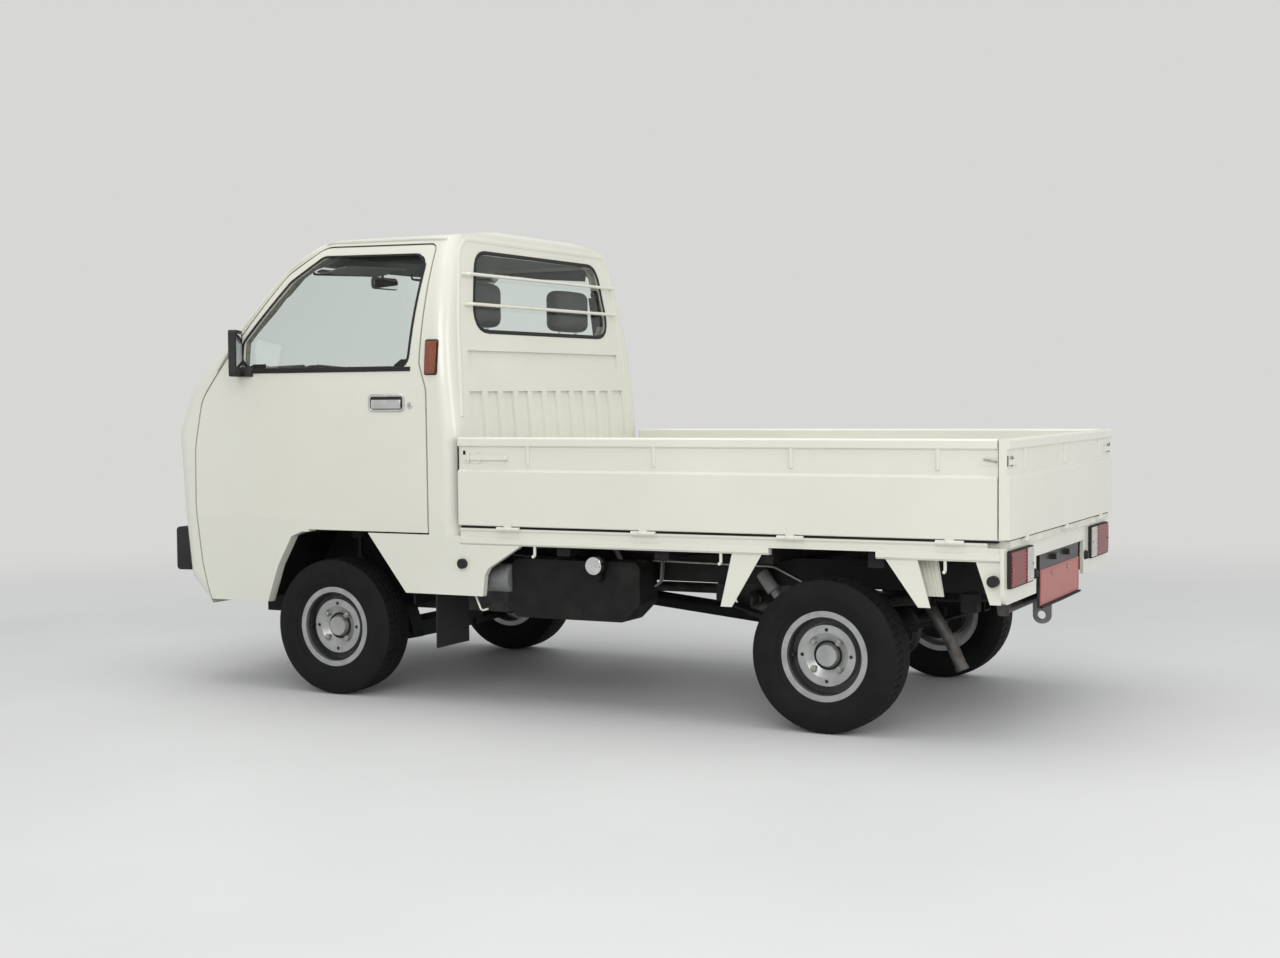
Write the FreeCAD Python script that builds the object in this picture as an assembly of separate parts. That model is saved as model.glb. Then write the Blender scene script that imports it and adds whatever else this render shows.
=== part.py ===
import FreeCAD, Part
import math
import os

# Kei truck with a drop-side bed: cab over the engine, ladder frame, ten-inch wheels.
# Lengths are in millimetres. X runs forward, Y to the left and Z up from the ground.
# The pieces are drawn with X counted from the front axle. The last step moves them all
# so that the origin lies on the ground at the middle of the whole truck.

V = FreeCAD.Vector

# Whole truck
wheelbase = 1840.0
front_overhang = 760.0
rear_overhang = 595.0
body_width = 1395.0
roof_height = 1640.0
track = 1200.0
overrun = 40.0
seat_gap = 0.3
moving_gap = 6.0
middle_share = 0.5

half_width = body_width / 2
rear_axle_x = -wheelbase
tail_x = -wheelbase - rear_overhang
middle_x = (front_overhang + tail_x) / 2
far = wheelbase + front_overhang + rear_overhang
touch = 0.001
straight_half_angle = 89.9

# Cab skin
bumper_proud = 38.0
nose_reach = front_overhang - bumper_proud
nose_bow_radius = 4225.0
cab_back = 540.0
cab_wall = 40.0
cab_corner_radius = 50.0
cab_floor_z = 330.0
nose_profile_shares = (
    (0.831, 0.183, 0.083), (0.953, 0.244, 0.083), (0.976, 0.390, 1.25), (1.0, 0.567, 0.166),
    (0.907, 0.662, 0.28), (0.321, 0.936, 0.21), (0.055, 0.989, 0.69), (-0.344, 1.0, 0.9))
cab_back_shares = ((2.0, 1.03, 0), (-0.856, 0.995, 0.04), (-0.985, 0.567, 1.0), (-1.0, 0.36, 0))
cab_half_section_shares = ((0.969, 0.183), (0.995, 0.378), (1.0, 0.659))
cab_tumblehome_shares = ((0.939, 0.843), (0.817, 0.976))
gutter_half = cab_tumblehome_shares[1][0] * half_width
screen_low_x = -500.0
crease_angle = 20.0
roof_rail_inset = 167.5
roof_rail_half = half_width - roof_rail_inset
skin_low_z = 301.0

# Doors
door_rear_x = -422.0
door_setback = 144.0
door_length = nose_reach - door_setback - door_rear_x
door_low_z = 318.0
door_top_share = 0.961
door_height = roof_height * door_top_share - door_low_z
door_sill_share = 0.212
door_step_share = 0.5
door_outline_shares = (
    (0.954, 0, 0), (0.982, 0.102, 0.3), (1.0, 0.270, 0.4), (0.996, 0.44, 0.3), (0.96, 0.575, 0.15),
    (0.771, 0.771, 0), (0.62, 0.925, 0.1), (0.485, 1.0, 0.1), (0.018, 0.994, 0.02),
    (0.028, 0.668, 0.05), (0, 0.6, 0.1))
door_window_shares = (
    (0.776, 0.662, 0.015), (0.776, 0.737, 0.01), (0.60, 0.905, 0.08), (0.48, 0.972, 0.08),
    (0.044, 0.966, 0.03), (0.074, 0.662, 0.04))
window_glass_thickness = 4.0
window_glass_depth = 14.0
handle_length = 140.0
handle_height = 46.0
handle_depth = 9.0
handle_rise = 709.0
handle_setback = 88.0
door_inner_inset = 167.5
door_inner_half = half_width - door_inner_inset
door_flange_inset = 67.5
door_flange_half = half_width - door_flange_inset

# Windscreen and rear window
screen_low_share = 0.689
screen_low_z = roof_height * screen_low_share
screen_high_share = 0.932
screen_high_z = roof_height * screen_high_share
screen_low_inset = 79.5
screen_low_half = half_width - screen_low_inset
screen_high_inset = 177.5
screen_high_half = half_width - screen_high_inset
screen_corner_radius = 70.0
header_share = 0.965
header_z = roof_height * header_share
header_low_share = 0.915
header_low_z = roof_height * header_low_share
header_reach = 260.0
cowl_share = 0.701
cowl_z = roof_height * cowl_share
cowl_setback = 242.0
cowl_reach = nose_reach - cowl_setback
rear_window_low_share = 0.779
rear_window_low_z = roof_height * rear_window_low_share
rear_window_high_share = 0.943
rear_window_high_z = roof_height * rear_window_high_share
rear_window_low_inset = 197.5
rear_window_low_half = half_width - rear_window_low_inset
rear_window_high_inset = 257.5
rear_window_high_half = half_width - rear_window_high_inset
rear_window_radius = 60.0
screen_glass_depth = 8.0

# Rear wall pressings
rear_wall_inset = 105.5
rear_wall_half = half_width - rear_wall_inset
rear_wall_shoulder_share = 0.762
rear_wall_shoulder_z = roof_height * rear_wall_shoulder_share
rear_wall_top_inset = 192.5
rear_wall_top_half = half_width - rear_wall_top_inset
channel_low_share = 0.694
channel_low_z = roof_height * channel_low_share
channel_high_share = 0.735
channel_high_z = roof_height * channel_high_share
channel_inset = 142.5
channel_half = half_width - channel_inset
press_depth = 10.0
recess_high_share = 0.649
recess_high_z = roof_height * recess_high_share
recess_inset = 126.5
recess_half = half_width - recess_inset
rib_count = 10
rib_width = 34.0
bed_level_z = 612.0
crease_z = 579.0
rear_wall_depth = 125.0
rear_wall_front_x = rear_wall_depth - cab_back

# Window guard bars
guard_inset = 157.5
guard_half = half_width - guard_inset
guard_low_share = 0.832
guard_low_z = roof_height * guard_low_share
guard_high_share = 0.895
guard_high_z = roof_height * guard_high_share
guard_radius = 6.0
guard_standoff = 26.0

# Front wheel arch and the skirt behind it
arch_front_x = 275.0
arch_rear_x = -322.0
arch_low_z = 376.0
arch_outline_shares = ((0.91, 0.36), (0.80, 0.88), (0.72, 0.97), (0.25, 1.0))
arch_top_z = 582.0
arch_skin = 6.0
skirt_rear_x = -780.0
skirt_toe_x = -631.0
skirt_foot_z = 446.0
skirt_tail_z = 547.0
skirt_toe_step = 10.0
skirt_thickness = 24.0
skirt_toe_run = 24.0
arch_skirt_reach = 150.0
wheelhouse_inset = 230.0
wheelhouse_inner = track / 2 - wheelhouse_inset
steer_room = 30.0

# Wheels
tyre_radius = 240.0
tyre_width = 145.0
rim_flange_radius = 140.5
bead_radius = 127.0
rim_width = 106.0
rim_wall = 5.0
disc_radius = 100.0
hub_groove_radius = 46.0
hub_cap_radius = 38.0
hub_cap_rise = 16.0
lug_circle_radius = 58.0
lug_radius = 8.0
lug_rise = 17.0
vent_circle_radius = 80.0
vent_radius = 6.0
lug_count = 4
spindle_radius = 17.0
spindle_gap = 0.4
drum_radius = 92.0
tread_shoulder_radius = 22.0
hub_face_y = 20.0
disc_face_y = 22.0
disc_crown = 14.0
sidewall_share = 0.55
drum_rear_y = -22.0

# Load bed
gate_thickness = 35.0
gate_low_z = 617.0
gate_high_z = 911.0
band_low_z = 805.0
band_high_z = 877.0
band_depth = 9.0
gate_front_gap = 9.0
gate_front_x = -cab_back - gate_front_gap
gate_edge = 6.0
tailgate_thickness = 32.0
hinge_z = 606.0
hinge_radius = 7.0
hinge_pin_radius = 3.5
hinge_pin_gap = 0.4
hinge_length = 86.0
side_hinge_places_shares = (0.105, 0.377, 0.650, 0.923)
tail_hinge_places_shares = (-0.72, 0, 0.72)
peg_radius = 7.0
peg_places_shares = (0.145, 0.396, 0.650, 0.902)
latch_length = 170.0
latch_height = 16.0
latch_rise = 30.0
deck_thickness = 20.0
deck_rib_height = 5.0
deck_rib_width = 30.0
deck_rib_count = 9
cross_bearer_count = 6
cross_bearer_width = 50.0
sill_low_z = 550.0
sill_inset = 7.5
sill_half = half_width - sill_inset
sill_thickness = 26.0
sill_crease = 6.0
sill_rear_inset = 76.0
sill_rear_x = tail_x + sill_rear_inset
hook_radius = 5.0
hook_low_z = 512.0
hook_bend = 8.0
hook_places_shares = (0.033, 0.459, 0.918)
sill_top_z = 606.0
deck_half = sill_half - sill_thickness
gate_rear_inset = 44.0
gate_rear_x = tail_x + gate_rear_inset
tailgate_face_x = tail_x + hinge_radius
deck_rear_inset = 41.0
deck_rear_x = tail_x + deck_rear_inset
rear_beam_low_z = 592.0
peg_lift = 14.0
latch_setback = 24.0

# Rear wheel arch stays and corner posts
rear_arch_front_x = -1671.0
rear_arch_rear_x = -2018.0
rear_arch_z = 572.0
front_stay_low_z = 382.0
rear_stay_low_z = 408.0
stay_root_inset = 27.0
stay_root_width = 100.0
stay_thickness = 3.0
stay_inset = 10.0
stay_half = sill_half - stay_inset
stay_width = 38.0
stay_reach = 102.0
corner_post_low_z = 425.0
corner_post_width = 36.0

# Rear panel, lamps and plate
rear_panel_inset = 37.0
rear_panel_x = tail_x + rear_panel_inset
rear_panel_thickness = 12.0
rear_panel_low_z = 425.0
rear_panel_middle_z = 540.0
rear_panel_middle_half = 300.0
rear_panel_gap = 20.0
tail_lamp_inner_inset = 292.0
tail_lamp_inner = sill_half - tail_lamp_inner_inset
tail_lamp_outer_inset = 34.0
tail_lamp_outer = sill_half - tail_lamp_outer_inset
tail_lamp_low_z = 475.0
tail_lamp_high_z = 577.0
tail_lamp_depth = 13.0
tail_lamp_clear_share = 0.33
plate_width = 520.0
plate_height = 112.0
plate_thickness = 2.0
plate_holder_thickness = 8.0
plate_high_z = 490.0
plate_lamp_width = 46.0
plate_lamp_height = 18.0
plate_lamp_depth = 17.0
plate_lamp_half = 90.0

# Bumper, lamps and grille at the nose
bumper_low_z = 417.0
bumper_high_z = 576.0
bumper_end_inset = 42.5
bumper_end_half = half_width - bumper_end_inset
head_lamp_radius = 88.0
head_lamp_inset = 197.5
head_lamp_half = half_width - head_lamp_inset
head_lamp_z = 745.0
head_lamp_ring = 12.0
grille_inset = 312.5
grille_half = half_width - grille_inset
grille_low_z = 690.0
grille_high_z = 800.0
grille_slat_count = 5
grille_slat_height = 9.0
indicator_width = 130.0
indicator_height = 46.0
indicator_inset = 137.5
indicator_half = half_width - indicator_inset
repeater_x = -446.0
repeater_width = 42.0
repeater_low_share = 0.686
repeater_low_z = roof_height * repeater_low_share
repeater_high_share = 0.754
repeater_high_z = roof_height * repeater_high_share
trim_proud = 10.0
grille_radius = 14.0
grille_frame = 12.0
bumper_edge_radius = 14.0
bumper_rear_setback = 162.0
bumper_rear_x = nose_reach - bumper_rear_setback
indicator_z = 622.0
repeater_radius = 8.0

# Mirrors
mirror_height = 164.0
mirror_width = 118.0
mirror_depth = 24.0
mirror_low_share = 0.6855
mirror_low_z = roof_height * mirror_low_share
mirror_x = 361.0
mirror_radius = 14.0
mirror_foot_radius = 41.0
mirror_foot_height = 34.0
mirror_arm_radius = 8.0
mirror_foot_inset = 25.0
mirror_clear = 8.0
mirror_turn_angle = 27.0

# Cab inside
floor_thickness = 10.0
footwell_setback = 112.0
footwell_front_x = nose_reach - footwell_setback
footwell_lead = 25.0
footwell_rear_x = arch_front_x + footwell_lead
seat_base_z = 600.0
seat_base_front_x = 130.0
seat_base_rear_x = -470.0
seat_half = 330.0
seat_width = 480.0
cushion_height = 150.0
cushion_front_x = 60.0
cushion_rear_x = -300.0
back_height = 520.0
back_thickness = 90.0
back_lean_angle = 6.0
headrest_width = 260.0
headrest_height = 165.0
headrest_thickness = 80.0
headrest_rise = 690.0
headrest_low_z = seat_base_z + headrest_rise
dash_rear_setback = 322.0
dash_rear_x = nose_reach - dash_rear_setback
dash_low_share = 0.5245
dash_low_z = roof_height * dash_low_share
dash_high_share = 0.6615
dash_high_z = roof_height * dash_high_share
dash_front_setback = 122.0
dash_front_x = nose_reach - dash_front_setback
wheel_rim_radius = 190.0
wheel_rim_tube = 12.0
wheel_reach = 210.0
wheel_centre_x = dash_rear_x - wheel_reach
wheel_centre_share = 0.616
wheel_centre_z = roof_height * wheel_centre_share
wheel_tilt_angle = 50.0
wheel_hub_radius = 45.0
wheel_hub_height = 30.0
wheel_spoke_radius = 9.0
wheel_spoke_count = 3
column_radius = 22.0
column_length = 700.0
column_bracket_width = 70.0
column_bracket_reach = 50.0
soft_radius_share = 0.3
headrest_setback = 65.0
headrest_post = 110.0
dash_radius = 40.0
dash_inset = 57.5
dash_half = half_width - dash_inset
footwell_toe_inset = 197.5
footwell_toe_half = half_width - footwell_toe_inset
driver_side = 1

# Frame
rail_half = 400.0
rail_width = 50.0
rail_low_z = 430.0
rail_high_z = 520.0
rail_front_setback = 187.0
rail_front_x = nose_reach - rail_front_setback
rail_rear_inset = 55.0
rail_rear_x = tail_x + rail_rear_inset
rail_foot_low_z = 240.0
rail_foot_high_z = 322.0
rail_foot_x = 290.0
rail_rise_x = 165.0
rail_rise_lead = 40.0
cross_member_places_shares = (0.40, 0.62, 0.77)
cross_member_width = 60.0
cross_member_height = 50.0
end_member_width = 28.0
tow_eye_reach = 32.0
tow_eye_rim = 28.0
tow_eye_radius = 14.0
tow_eye_thickness = 14.0
tow_eye_z = 318.0
rail_front_half = 300.0
rail_jog_front_x = -450.0
rail_jog_rear_x = -680.0

# Front suspension and steering
kingpin_inset = 108.0
kingpin_half = track / 2 - kingpin_inset
kingpin_radius = 9.0
arm_eye_radius = 16.0
upright_width = 70.0
upright_depth = 36.0
hub_carrier_radius = 34.0
back_plate_inset = 47.0
back_plate_front_y = track / 2 - back_plate_inset
upright_high_z = 330.0
strut_radius = 24.0
strut_rod_radius = 11.0
strut_top_z = 578.0
strut_split_z = 480.0
lower_arm_z = 150.0
lower_arm_height = 24.0
lower_arm_width = 60.0
front_beam_x = 0.0
front_beam_width = 110.0
front_beam_low_z = 150.0
front_beam_high_z = 210.0
steer_arm_reach = 120.0
steer_arm_width = 30.0
steer_arm_height = 16.0
steer_arm_z = 250.0
front_beam_half = 235.0
strut_cup_low_z = 545.0
strut_cup_radius = 40.0
strut_clear = 6.0
steer_arm_inset = 40.0

# Rear axle and springs
axle_tube_radius = 30.0
axle_tube_inset = 95.0
axle_tube_half = track / 2 - axle_tube_inset
diff_radius = 95.0
back_plate_radius = 90.0
back_plate_thickness = 8.0
spring_half = 445.0
spring_width = 50.0
spring_leaf_thickness = 7.0
spring_leaf_count = 4
spring_front_reach = 420.0
spring_rear_reach = 400.0
spring_end_z = 345.0
spring_sag = 70.0
damper_radius = 22.0
spring_top_z = spring_end_z + spring_leaf_count * spring_leaf_thickness
short_leaf_share = 0.4
diff_nose_radius = 40.0
diff_nose_length = 130.0
damper_lead = 60.0
damper_half = 380.0

# Engine, drive line, exhaust, tank, spare wheel
engine_front_x = 20.0
engine_rear_x = -440.0
engine_half = 200.0
engine_low_z = 260.0
engine_high_z = 560.0
gearbox_rear_x = -780.0
gearbox_radius = 85.0
gearbox_tail_radius = 50.0
gearbox_z = 330.0
shaft_radius = 27.0
shaft_joint_radius = 42.0
shaft_joint_length = 60.0
tank_front_x = -700.0
tank_rear_x = -1180.0
tank_low_z = 302.0
tank_high_z = 500.0
tank_outer_inset = 90.0
tank_outer = sill_half - tank_outer_inset
tank_inner_gap = 20.0
tank_inner = rail_half + rail_width + tank_inner_gap
tank_edge_radius = 25.0
filler_x = -1037.0
filler_z = 490.0
filler_radius = 30.0
filler_inset = 50.0
filler_y = sill_half - filler_inset
muffler_radius = 75.0
muffler_length = 420.0
muffler_x = -1300.0
muffler_y = -290.0
hanger_width = 30.0
hanger_thickness = 8.0
pipe_bend = 60.0
muffler_z = 330.0
pipe_radius = 19.0
spare_x = -2070.0
spare_low_z = 370.0
flap_x = -438.0
flap_thickness = 5.0
flap_low_z = 190.0
flap_inner_inset = 130.0
flap_inner = track / 2 - flap_inner_inset
flap_outer_inset = 25.5
flap_outer = half_width - flap_outer_inset
stop_radius = 17.0
stop_proud = 2.5
stop_face_y = half_width + stop_proud
stop_front_inset = 10.0
stop_front_x = gate_front_x - stop_front_inset
stop_front_z = 485.0
stop_rear_inset = 58.0
stop_rear_x = tail_x + stop_rear_inset
stop_rear_z = 495.0
tank_chamfer = 60.0
filler_cap_depth = 24.0
tank_strap_places_shares = (0.2, 0.8)


# Drawing helpers

def place(plane, a, b, c):
    """Point with coordinates a, b in the named plane and c across it."""
    spots = {"xz": V(a, c, b), "yz": V(c, a, b), "xy": V(a, b, c)}
    return spots[plane]


def outline(plane, points, level):
    """Closed wire through the points; a third value rounds that corner."""
    corners = []
    count = len(points)
    for index, point in enumerate(points):
        spot = V(point[0], point[1], 0)
        radius = point[2] if len(point) > 2 else 0
        before = points[index - 1]
        after = points[(index + 1) % count]
        to_before = V(before[0], before[1], 0) - spot
        to_after = V(after[0], after[1], 0) - spot
        half_angle = to_before.getAngle(to_after) / 2
        if not radius or half_angle > math.radians(straight_half_angle):
            corners.append((spot, spot, None))
            continue
        to_before.normalize()
        to_after.normalize()
        reach = radius / math.tan(half_angle)
        inward = (to_before + to_after).normalize()
        middle = spot + inward * (radius / math.sin(half_angle) - radius)
        corners.append((spot + to_before * reach, spot + to_after * reach, middle))
    edges = []
    for index, (start, end, middle) in enumerate(corners):
        first = place(plane, start.x, start.y, level)
        last = place(plane, end.x, end.y, level)
        if middle is not None:
            edges.append(Part.Arc(first, place(plane, middle.x, middle.y, level), last).toShape())
        following = corners[(index + 1) % count][0]
        following = place(plane, following.x, following.y, level)
        if (following - last).Length > touch:
            edges.append(Part.LineSegment(last, following).toShape())
    return Part.Wire(edges)


def prism(plane, points, low, high, grow=0):
    """Solid with the given outline between two levels, its outline grown by a margin."""
    wire = outline(plane, points, low)
    if grow:
        wire = wire.makeOffset2D(grow)
    return Part.Face(wire).extrude(place(plane, 0, 0, high - low))


def box(x_low, x_high, y_low, y_high, z_low, z_high):
    return Part.makeBox(x_high - x_low, y_high - y_low, z_high - z_low, V(x_low, y_low, z_low))


def rod(start, end, radius):
    """Round bar between two points."""
    along = end - start
    return Part.makeCylinder(radius, along.Length, start, along)


def bent_rod(points, radius, bend):
    """Round bar through the points with rounded bends."""
    edges = []
    last = points[0]
    for before, spot, after in zip(points, points[1:], points[2:]):
        to_before = (before - spot).normalize()
        to_after = (after - spot).normalize()
        half_angle = to_before.getAngle(to_after) / 2
        reach = bend / math.tan(half_angle)
        inward = (to_before + to_after).normalize()
        middle = spot + inward * (bend / math.sin(half_angle) - bend)
        edges.append(Part.LineSegment(last, spot + to_before * reach).toShape())
        last = spot + to_after * reach
        edges.append(Part.Arc(spot + to_before * reach, middle, last).toShape())
    edges.append(Part.LineSegment(last, points[-1]).toShape())
    path = Part.Wire(edges)
    start_circle = Part.makeCircle(radius, points[0], points[1] - points[0])
    return path.makePipeShell([Part.Wire(start_circle)], True, False)


def turned(outlines):
    """Solid of revolution about the Y axis from outlines drawn in Y (first) and radius."""
    faces = [Part.Face(outline("yz", points, 0)) for points in outlines]
    return fused(faces).Faces[0].revolve(V(0, 0, 0), V(0, 1, 0), 360)


def spread(shares, length, height, start=0, low=0):
    """Outline points from shares of a length and a height; the radius goes by the length."""
    points = []
    for row in shares:
        radius = row[2] * abs(length) if len(row) > 2 else 0
        points.append((start + row[0] * length, low + row[1] * height, radius))
    return points


def both_sides(half_points):
    """Symmetric outline from the points of its positive half."""
    other_half = [(-point[0],) + tuple(point[1:]) for point in reversed(half_points)]
    return list(half_points) + other_half


def fused(shapes):
    whole = shapes[0]
    if len(shapes) > 1:
        whole = whole.fuse(list(shapes[1:])).removeSplitter()
    return whole


def mirrored(shape):
    """The same piece on the other side of the truck."""
    return shape.mirror(V(0, 0, 0), V(0, 1, 0))


def pair(shape):
    return Part.makeCompound([shape, mirrored(shape)])


def side_of(shape, side):
    """The piece for the left (1) or right (-1) side from the left one."""
    return shape if side > 0 else mirrored(shape)


def share_between(low, high, share):
    return low + (high - low) * share


# Cab skin

def nose_profile():
    """Side view of nose, windscreen and roof, running on behind the cab."""
    nose = spread(nose_profile_shares, nose_reach, roof_height)
    return nose + [(-far / 2, roof_height), (-far / 2, 0), (nose[0][0], 0)]


def back_profile():
    """Side view of the roof's fall and the rear wall, running on ahead of the cab."""
    back = spread(cab_back_shares, cab_back, roof_height)
    return back + [(-cab_back, -overrun), (back[0][0], -overrun)]


def cab_section(inset):
    """Cross-section of the cab: flat lower sides, tumblehome above the waist, crowned roof."""
    side_points = [(point[0] * half_width, point[1] * roof_height)
                   for point in cab_half_section_shares]
    bulge, gutter = [(share[0] * half_width, share[1] * roof_height)
                     for share in cab_tumblehome_shares]
    foot, knee, waist = side_points

    def at(y, z):
        return V(-far, y, z)

    curves = [
        Part.LineSegment(at(-foot[0], -overrun), at(foot[0], -overrun)),
        Part.LineSegment(at(foot[0], -overrun), at(*foot)),
        Part.LineSegment(at(*foot), at(*knee)),
        Part.LineSegment(at(*knee), at(*waist)),
        Part.Arc(at(*waist), at(*bulge), at(*gutter)),
        Part.Arc(at(*gutter), at(0, roof_height), at(-gutter[0], gutter[1])),
        Part.Arc(at(-gutter[0], gutter[1]), at(-bulge[0], bulge[1]), at(-waist[0], waist[1])),
        Part.LineSegment(at(-waist[0], waist[1]), at(-knee[0], knee[1])),
        Part.LineSegment(at(-knee[0], knee[1]), at(-foot[0], foot[1])),
        Part.LineSegment(at(-foot[0], foot[1]), at(-foot[0], -overrun))]
    section = Part.Wire([curve.toShape() for curve in curves])
    return section.makeOffset2D(-inset) if inset else section


def cab_form(inset):
    """Outer form of the cab moved inward: bowed nose, tumblehome sides, crowned roof."""
    nose = outline("xz", nose_profile(), 0)
    back = outline("xz", back_profile(), -far)
    if inset:
        nose = nose.makeOffset2D(-inset)
        back = back.makeOffset2D(-inset)
    bow_x = nose_reach - nose_bow_radius
    bow_reach = nose_bow_radius - nose_reach - cab_back
    sweep = math.degrees(math.asin((half_width + overrun) / bow_reach))
    bowed = Part.Face(nose)
    bowed.rotate(V(bow_x, 0, 0), V(0, 0, 1), -sweep)
    bowed = bowed.revolve(V(bow_x, 0, 0), V(0, 0, 1), 2 * sweep)
    behind = Part.Face(back).extrude(V(0, 2 * far, 0))
    return bowed.common(behind).common(side_band(inset))


def side_band(inset):
    """The cab's cross-section carried along the whole truck."""
    return Part.Face(cab_section(inset)).extrude(V(2 * far, 0, 0))


forms = {}


def form(inset):
    """The cab form at one inset, drawn once."""
    if inset not in forms:
        forms[inset] = cab_form(inset)
    return forms[inset]


def in_layer(shape, outer_inset, inner_inset):
    """What of a shape lies in the cab's skin between two insets."""
    return shape.common(form(outer_inset)).cut(form(inner_inset))


def rounded_outer_form():
    """The cab form with its nose corners and roof edges rounded."""
    whole = form(0)
    edges = []
    for edge in whole.Edges:
        spot = edge.valueAt(share_between(edge.FirstParameter, edge.LastParameter, middle_share))
        beside = abs(spot.y) > gutter_half - overrun and abs(spot.y) > 0
        if not beside or spot.z < cab_floor_z or spot.x < screen_low_x:
            continue
        normals = []
        for face in whole.ancestorsOfType(edge, Part.Face):
            u, v = face.Surface.parameter(spot)
            normals.append(face.normalAt(u, v))
        if len(normals) == 2 and normals[0].getAngle(normals[1]) > math.radians(crease_angle):
            edges.append(edge)
    return whole.makeFillet(cab_corner_radius, edges)


def door_cutter(grow):
    """Volume of the left door, its outline grown by the gap round it."""
    edge = spread(door_outline_shares, door_length, door_height, door_rear_x, door_low_z)
    sill_z = door_low_z + door_sill_share * door_height
    step_x = door_rear_x + door_step_share * door_length
    edge = edge + [(door_rear_x, sill_z), (step_x, sill_z), (step_x, door_low_z)]
    return prism("xz", edge, door_inner_half, half_width + overrun, grow)


def window_cutter(grow):
    edge = spread(door_window_shares, door_length, door_height, door_rear_x, door_low_z)
    return prism("xz", edge, door_inner_half - overrun, half_width + overrun, grow)


def arch_points(front_x):
    """Front wheel opening up to a front edge, drawn down to the ground."""
    rise = arch_top_z - arch_low_z
    curve = spread(arch_outline_shares, front_x - arch_rear_x, rise, arch_rear_x, arch_low_z)
    return [(front_x, 0), (front_x, door_low_z)] + curve + [
        (arch_rear_x, arch_low_z), (arch_rear_x, 0)]


def arch_cutter(inner_y):
    return prism("xz", arch_points(arch_front_x), inner_y, half_width + overrun)


def wheel_room(inner_y, grow):
    """Space over the front wheel, longer ahead than the arch so that the steered tyre clears."""
    return prism("xz", arch_points(arch_front_x + steer_room), inner_y, half_width + overrun, grow)


def screen_cutter():
    points = both_sides([
        (screen_low_half, screen_low_z, screen_corner_radius),
        (screen_high_half, screen_high_z, screen_corner_radius)])
    return prism("yz", points, 0, nose_reach + overrun)


def rear_window_cutter():
    points = both_sides([
        (rear_window_low_half, rear_window_low_z, rear_window_radius),
        (rear_window_high_half, rear_window_high_z, rear_window_radius)])
    return prism("yz", points, -cab_back - overrun, rear_wall_front_x)


def roof_cutter():
    points = both_sides([
        (half_width + overrun, header_z), (half_width + overrun, roof_height + overrun)])
    points = [(-roof_rail_half, header_low_z), (roof_rail_half, header_low_z),
              (roof_rail_half, header_z)] + points + [(-roof_rail_half, header_z)]
    return prism("yz", points, -far, header_reach)


def rear_wall_cutter():
    points = both_sides([
        (rear_wall_half, crease_z), (rear_wall_half, rear_wall_shoulder_z),
        (rear_wall_top_half, header_z)])
    return prism("yz", points, -cab_back - overrun, rear_wall_front_x)


def front_cutter():
    """Everything ahead of the seam in front of the doors, up to the cowl."""
    seam = spread(door_outline_shares[:5], door_length, door_height, door_rear_x, door_low_z)
    seam = [(point[0] + moving_gap, point[1], point[2]) for point in seam]
    points = [(seam[0][0], 0)] + seam + [
        (cowl_reach, cowl_z), (nose_reach + overrun, cowl_z), (nose_reach + overrun, 0)]
    return prism("xz", points, -half_width - overrun, half_width + overrun)


def cab_skin():
    """Hollow cab with its window and wheel openings cut, before it is split."""
    skin = rounded_outer_form().cut(form(cab_wall))
    arch = arch_cutter(0)
    under = box(-far, far, -far, far, -overrun, skin_low_z)
    lamp_holes = [lamp_tube(side) for side in (-1, 1)]
    return skin.cut([screen_cutter(), rear_window_cutter(), arch, mirrored(arch), under,
                     grille_cutter(0)] + lamp_holes)


def left_door(skin):
    panel = skin.common(door_cutter(0)).cut(window_cutter(0))
    handle_x = door_rear_x + handle_setback
    handle_z = door_low_z + handle_rise
    grip = box(handle_x, handle_x + handle_length, 0, half_width + overrun,
               handle_z - handle_height / 2, handle_z + handle_height / 2)
    bowl = in_layer(grip, 0, handle_depth)
    flange = box(-far, far, 0, door_flange_half, -overrun, dash_low_z)
    return panel.cut([bowl, flange])


def left_handle():
    handle_x = door_rear_x + handle_setback + handle_depth
    handle_z = door_low_z + handle_rise
    flap_height = handle_height / 2
    grip = box(handle_x, handle_x + handle_length - handle_depth, 0, half_width + overrun,
               handle_z - flap_height / 2, handle_z + flap_height)
    return in_layer(grip, 0, handle_depth)


def left_door_glass():
    return in_layer(window_cutter(0), window_glass_depth, window_glass_depth + window_glass_thickness)


def left_mirror():
    """Door mirror on its foot below the front corner of the window."""
    foot_y = half_width - mirror_foot_inset
    foot = rod(V(mirror_x - mirror_foot_radius / 2, foot_y, mirror_low_z),
               V(mirror_x - mirror_foot_radius / 2, foot_y, mirror_low_z + mirror_foot_height),
               mirror_foot_radius)
    foot = foot.cut(form(0))
    head_low = half_width + mirror_clear
    head = prism("yz", [
        (head_low, mirror_low_z, mirror_radius), (head_low + mirror_width, mirror_low_z, mirror_radius),
        (head_low + mirror_width, mirror_low_z + mirror_height, mirror_radius),
        (head_low, mirror_low_z + mirror_height, mirror_radius)],
        mirror_x - mirror_depth / 2, mirror_x + mirror_depth / 2)
    head.rotate(V(mirror_x, head_low, 0), V(0, 0, 1), mirror_turn_angle)
    arm = rod(V(mirror_x, foot_y, mirror_low_z + mirror_foot_height / 2),
              V(mirror_x, head_low + mirror_radius, mirror_low_z + mirror_foot_height / 2),
              mirror_arm_radius).cut(form(0))
    return fused([foot, arm, head])


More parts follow.
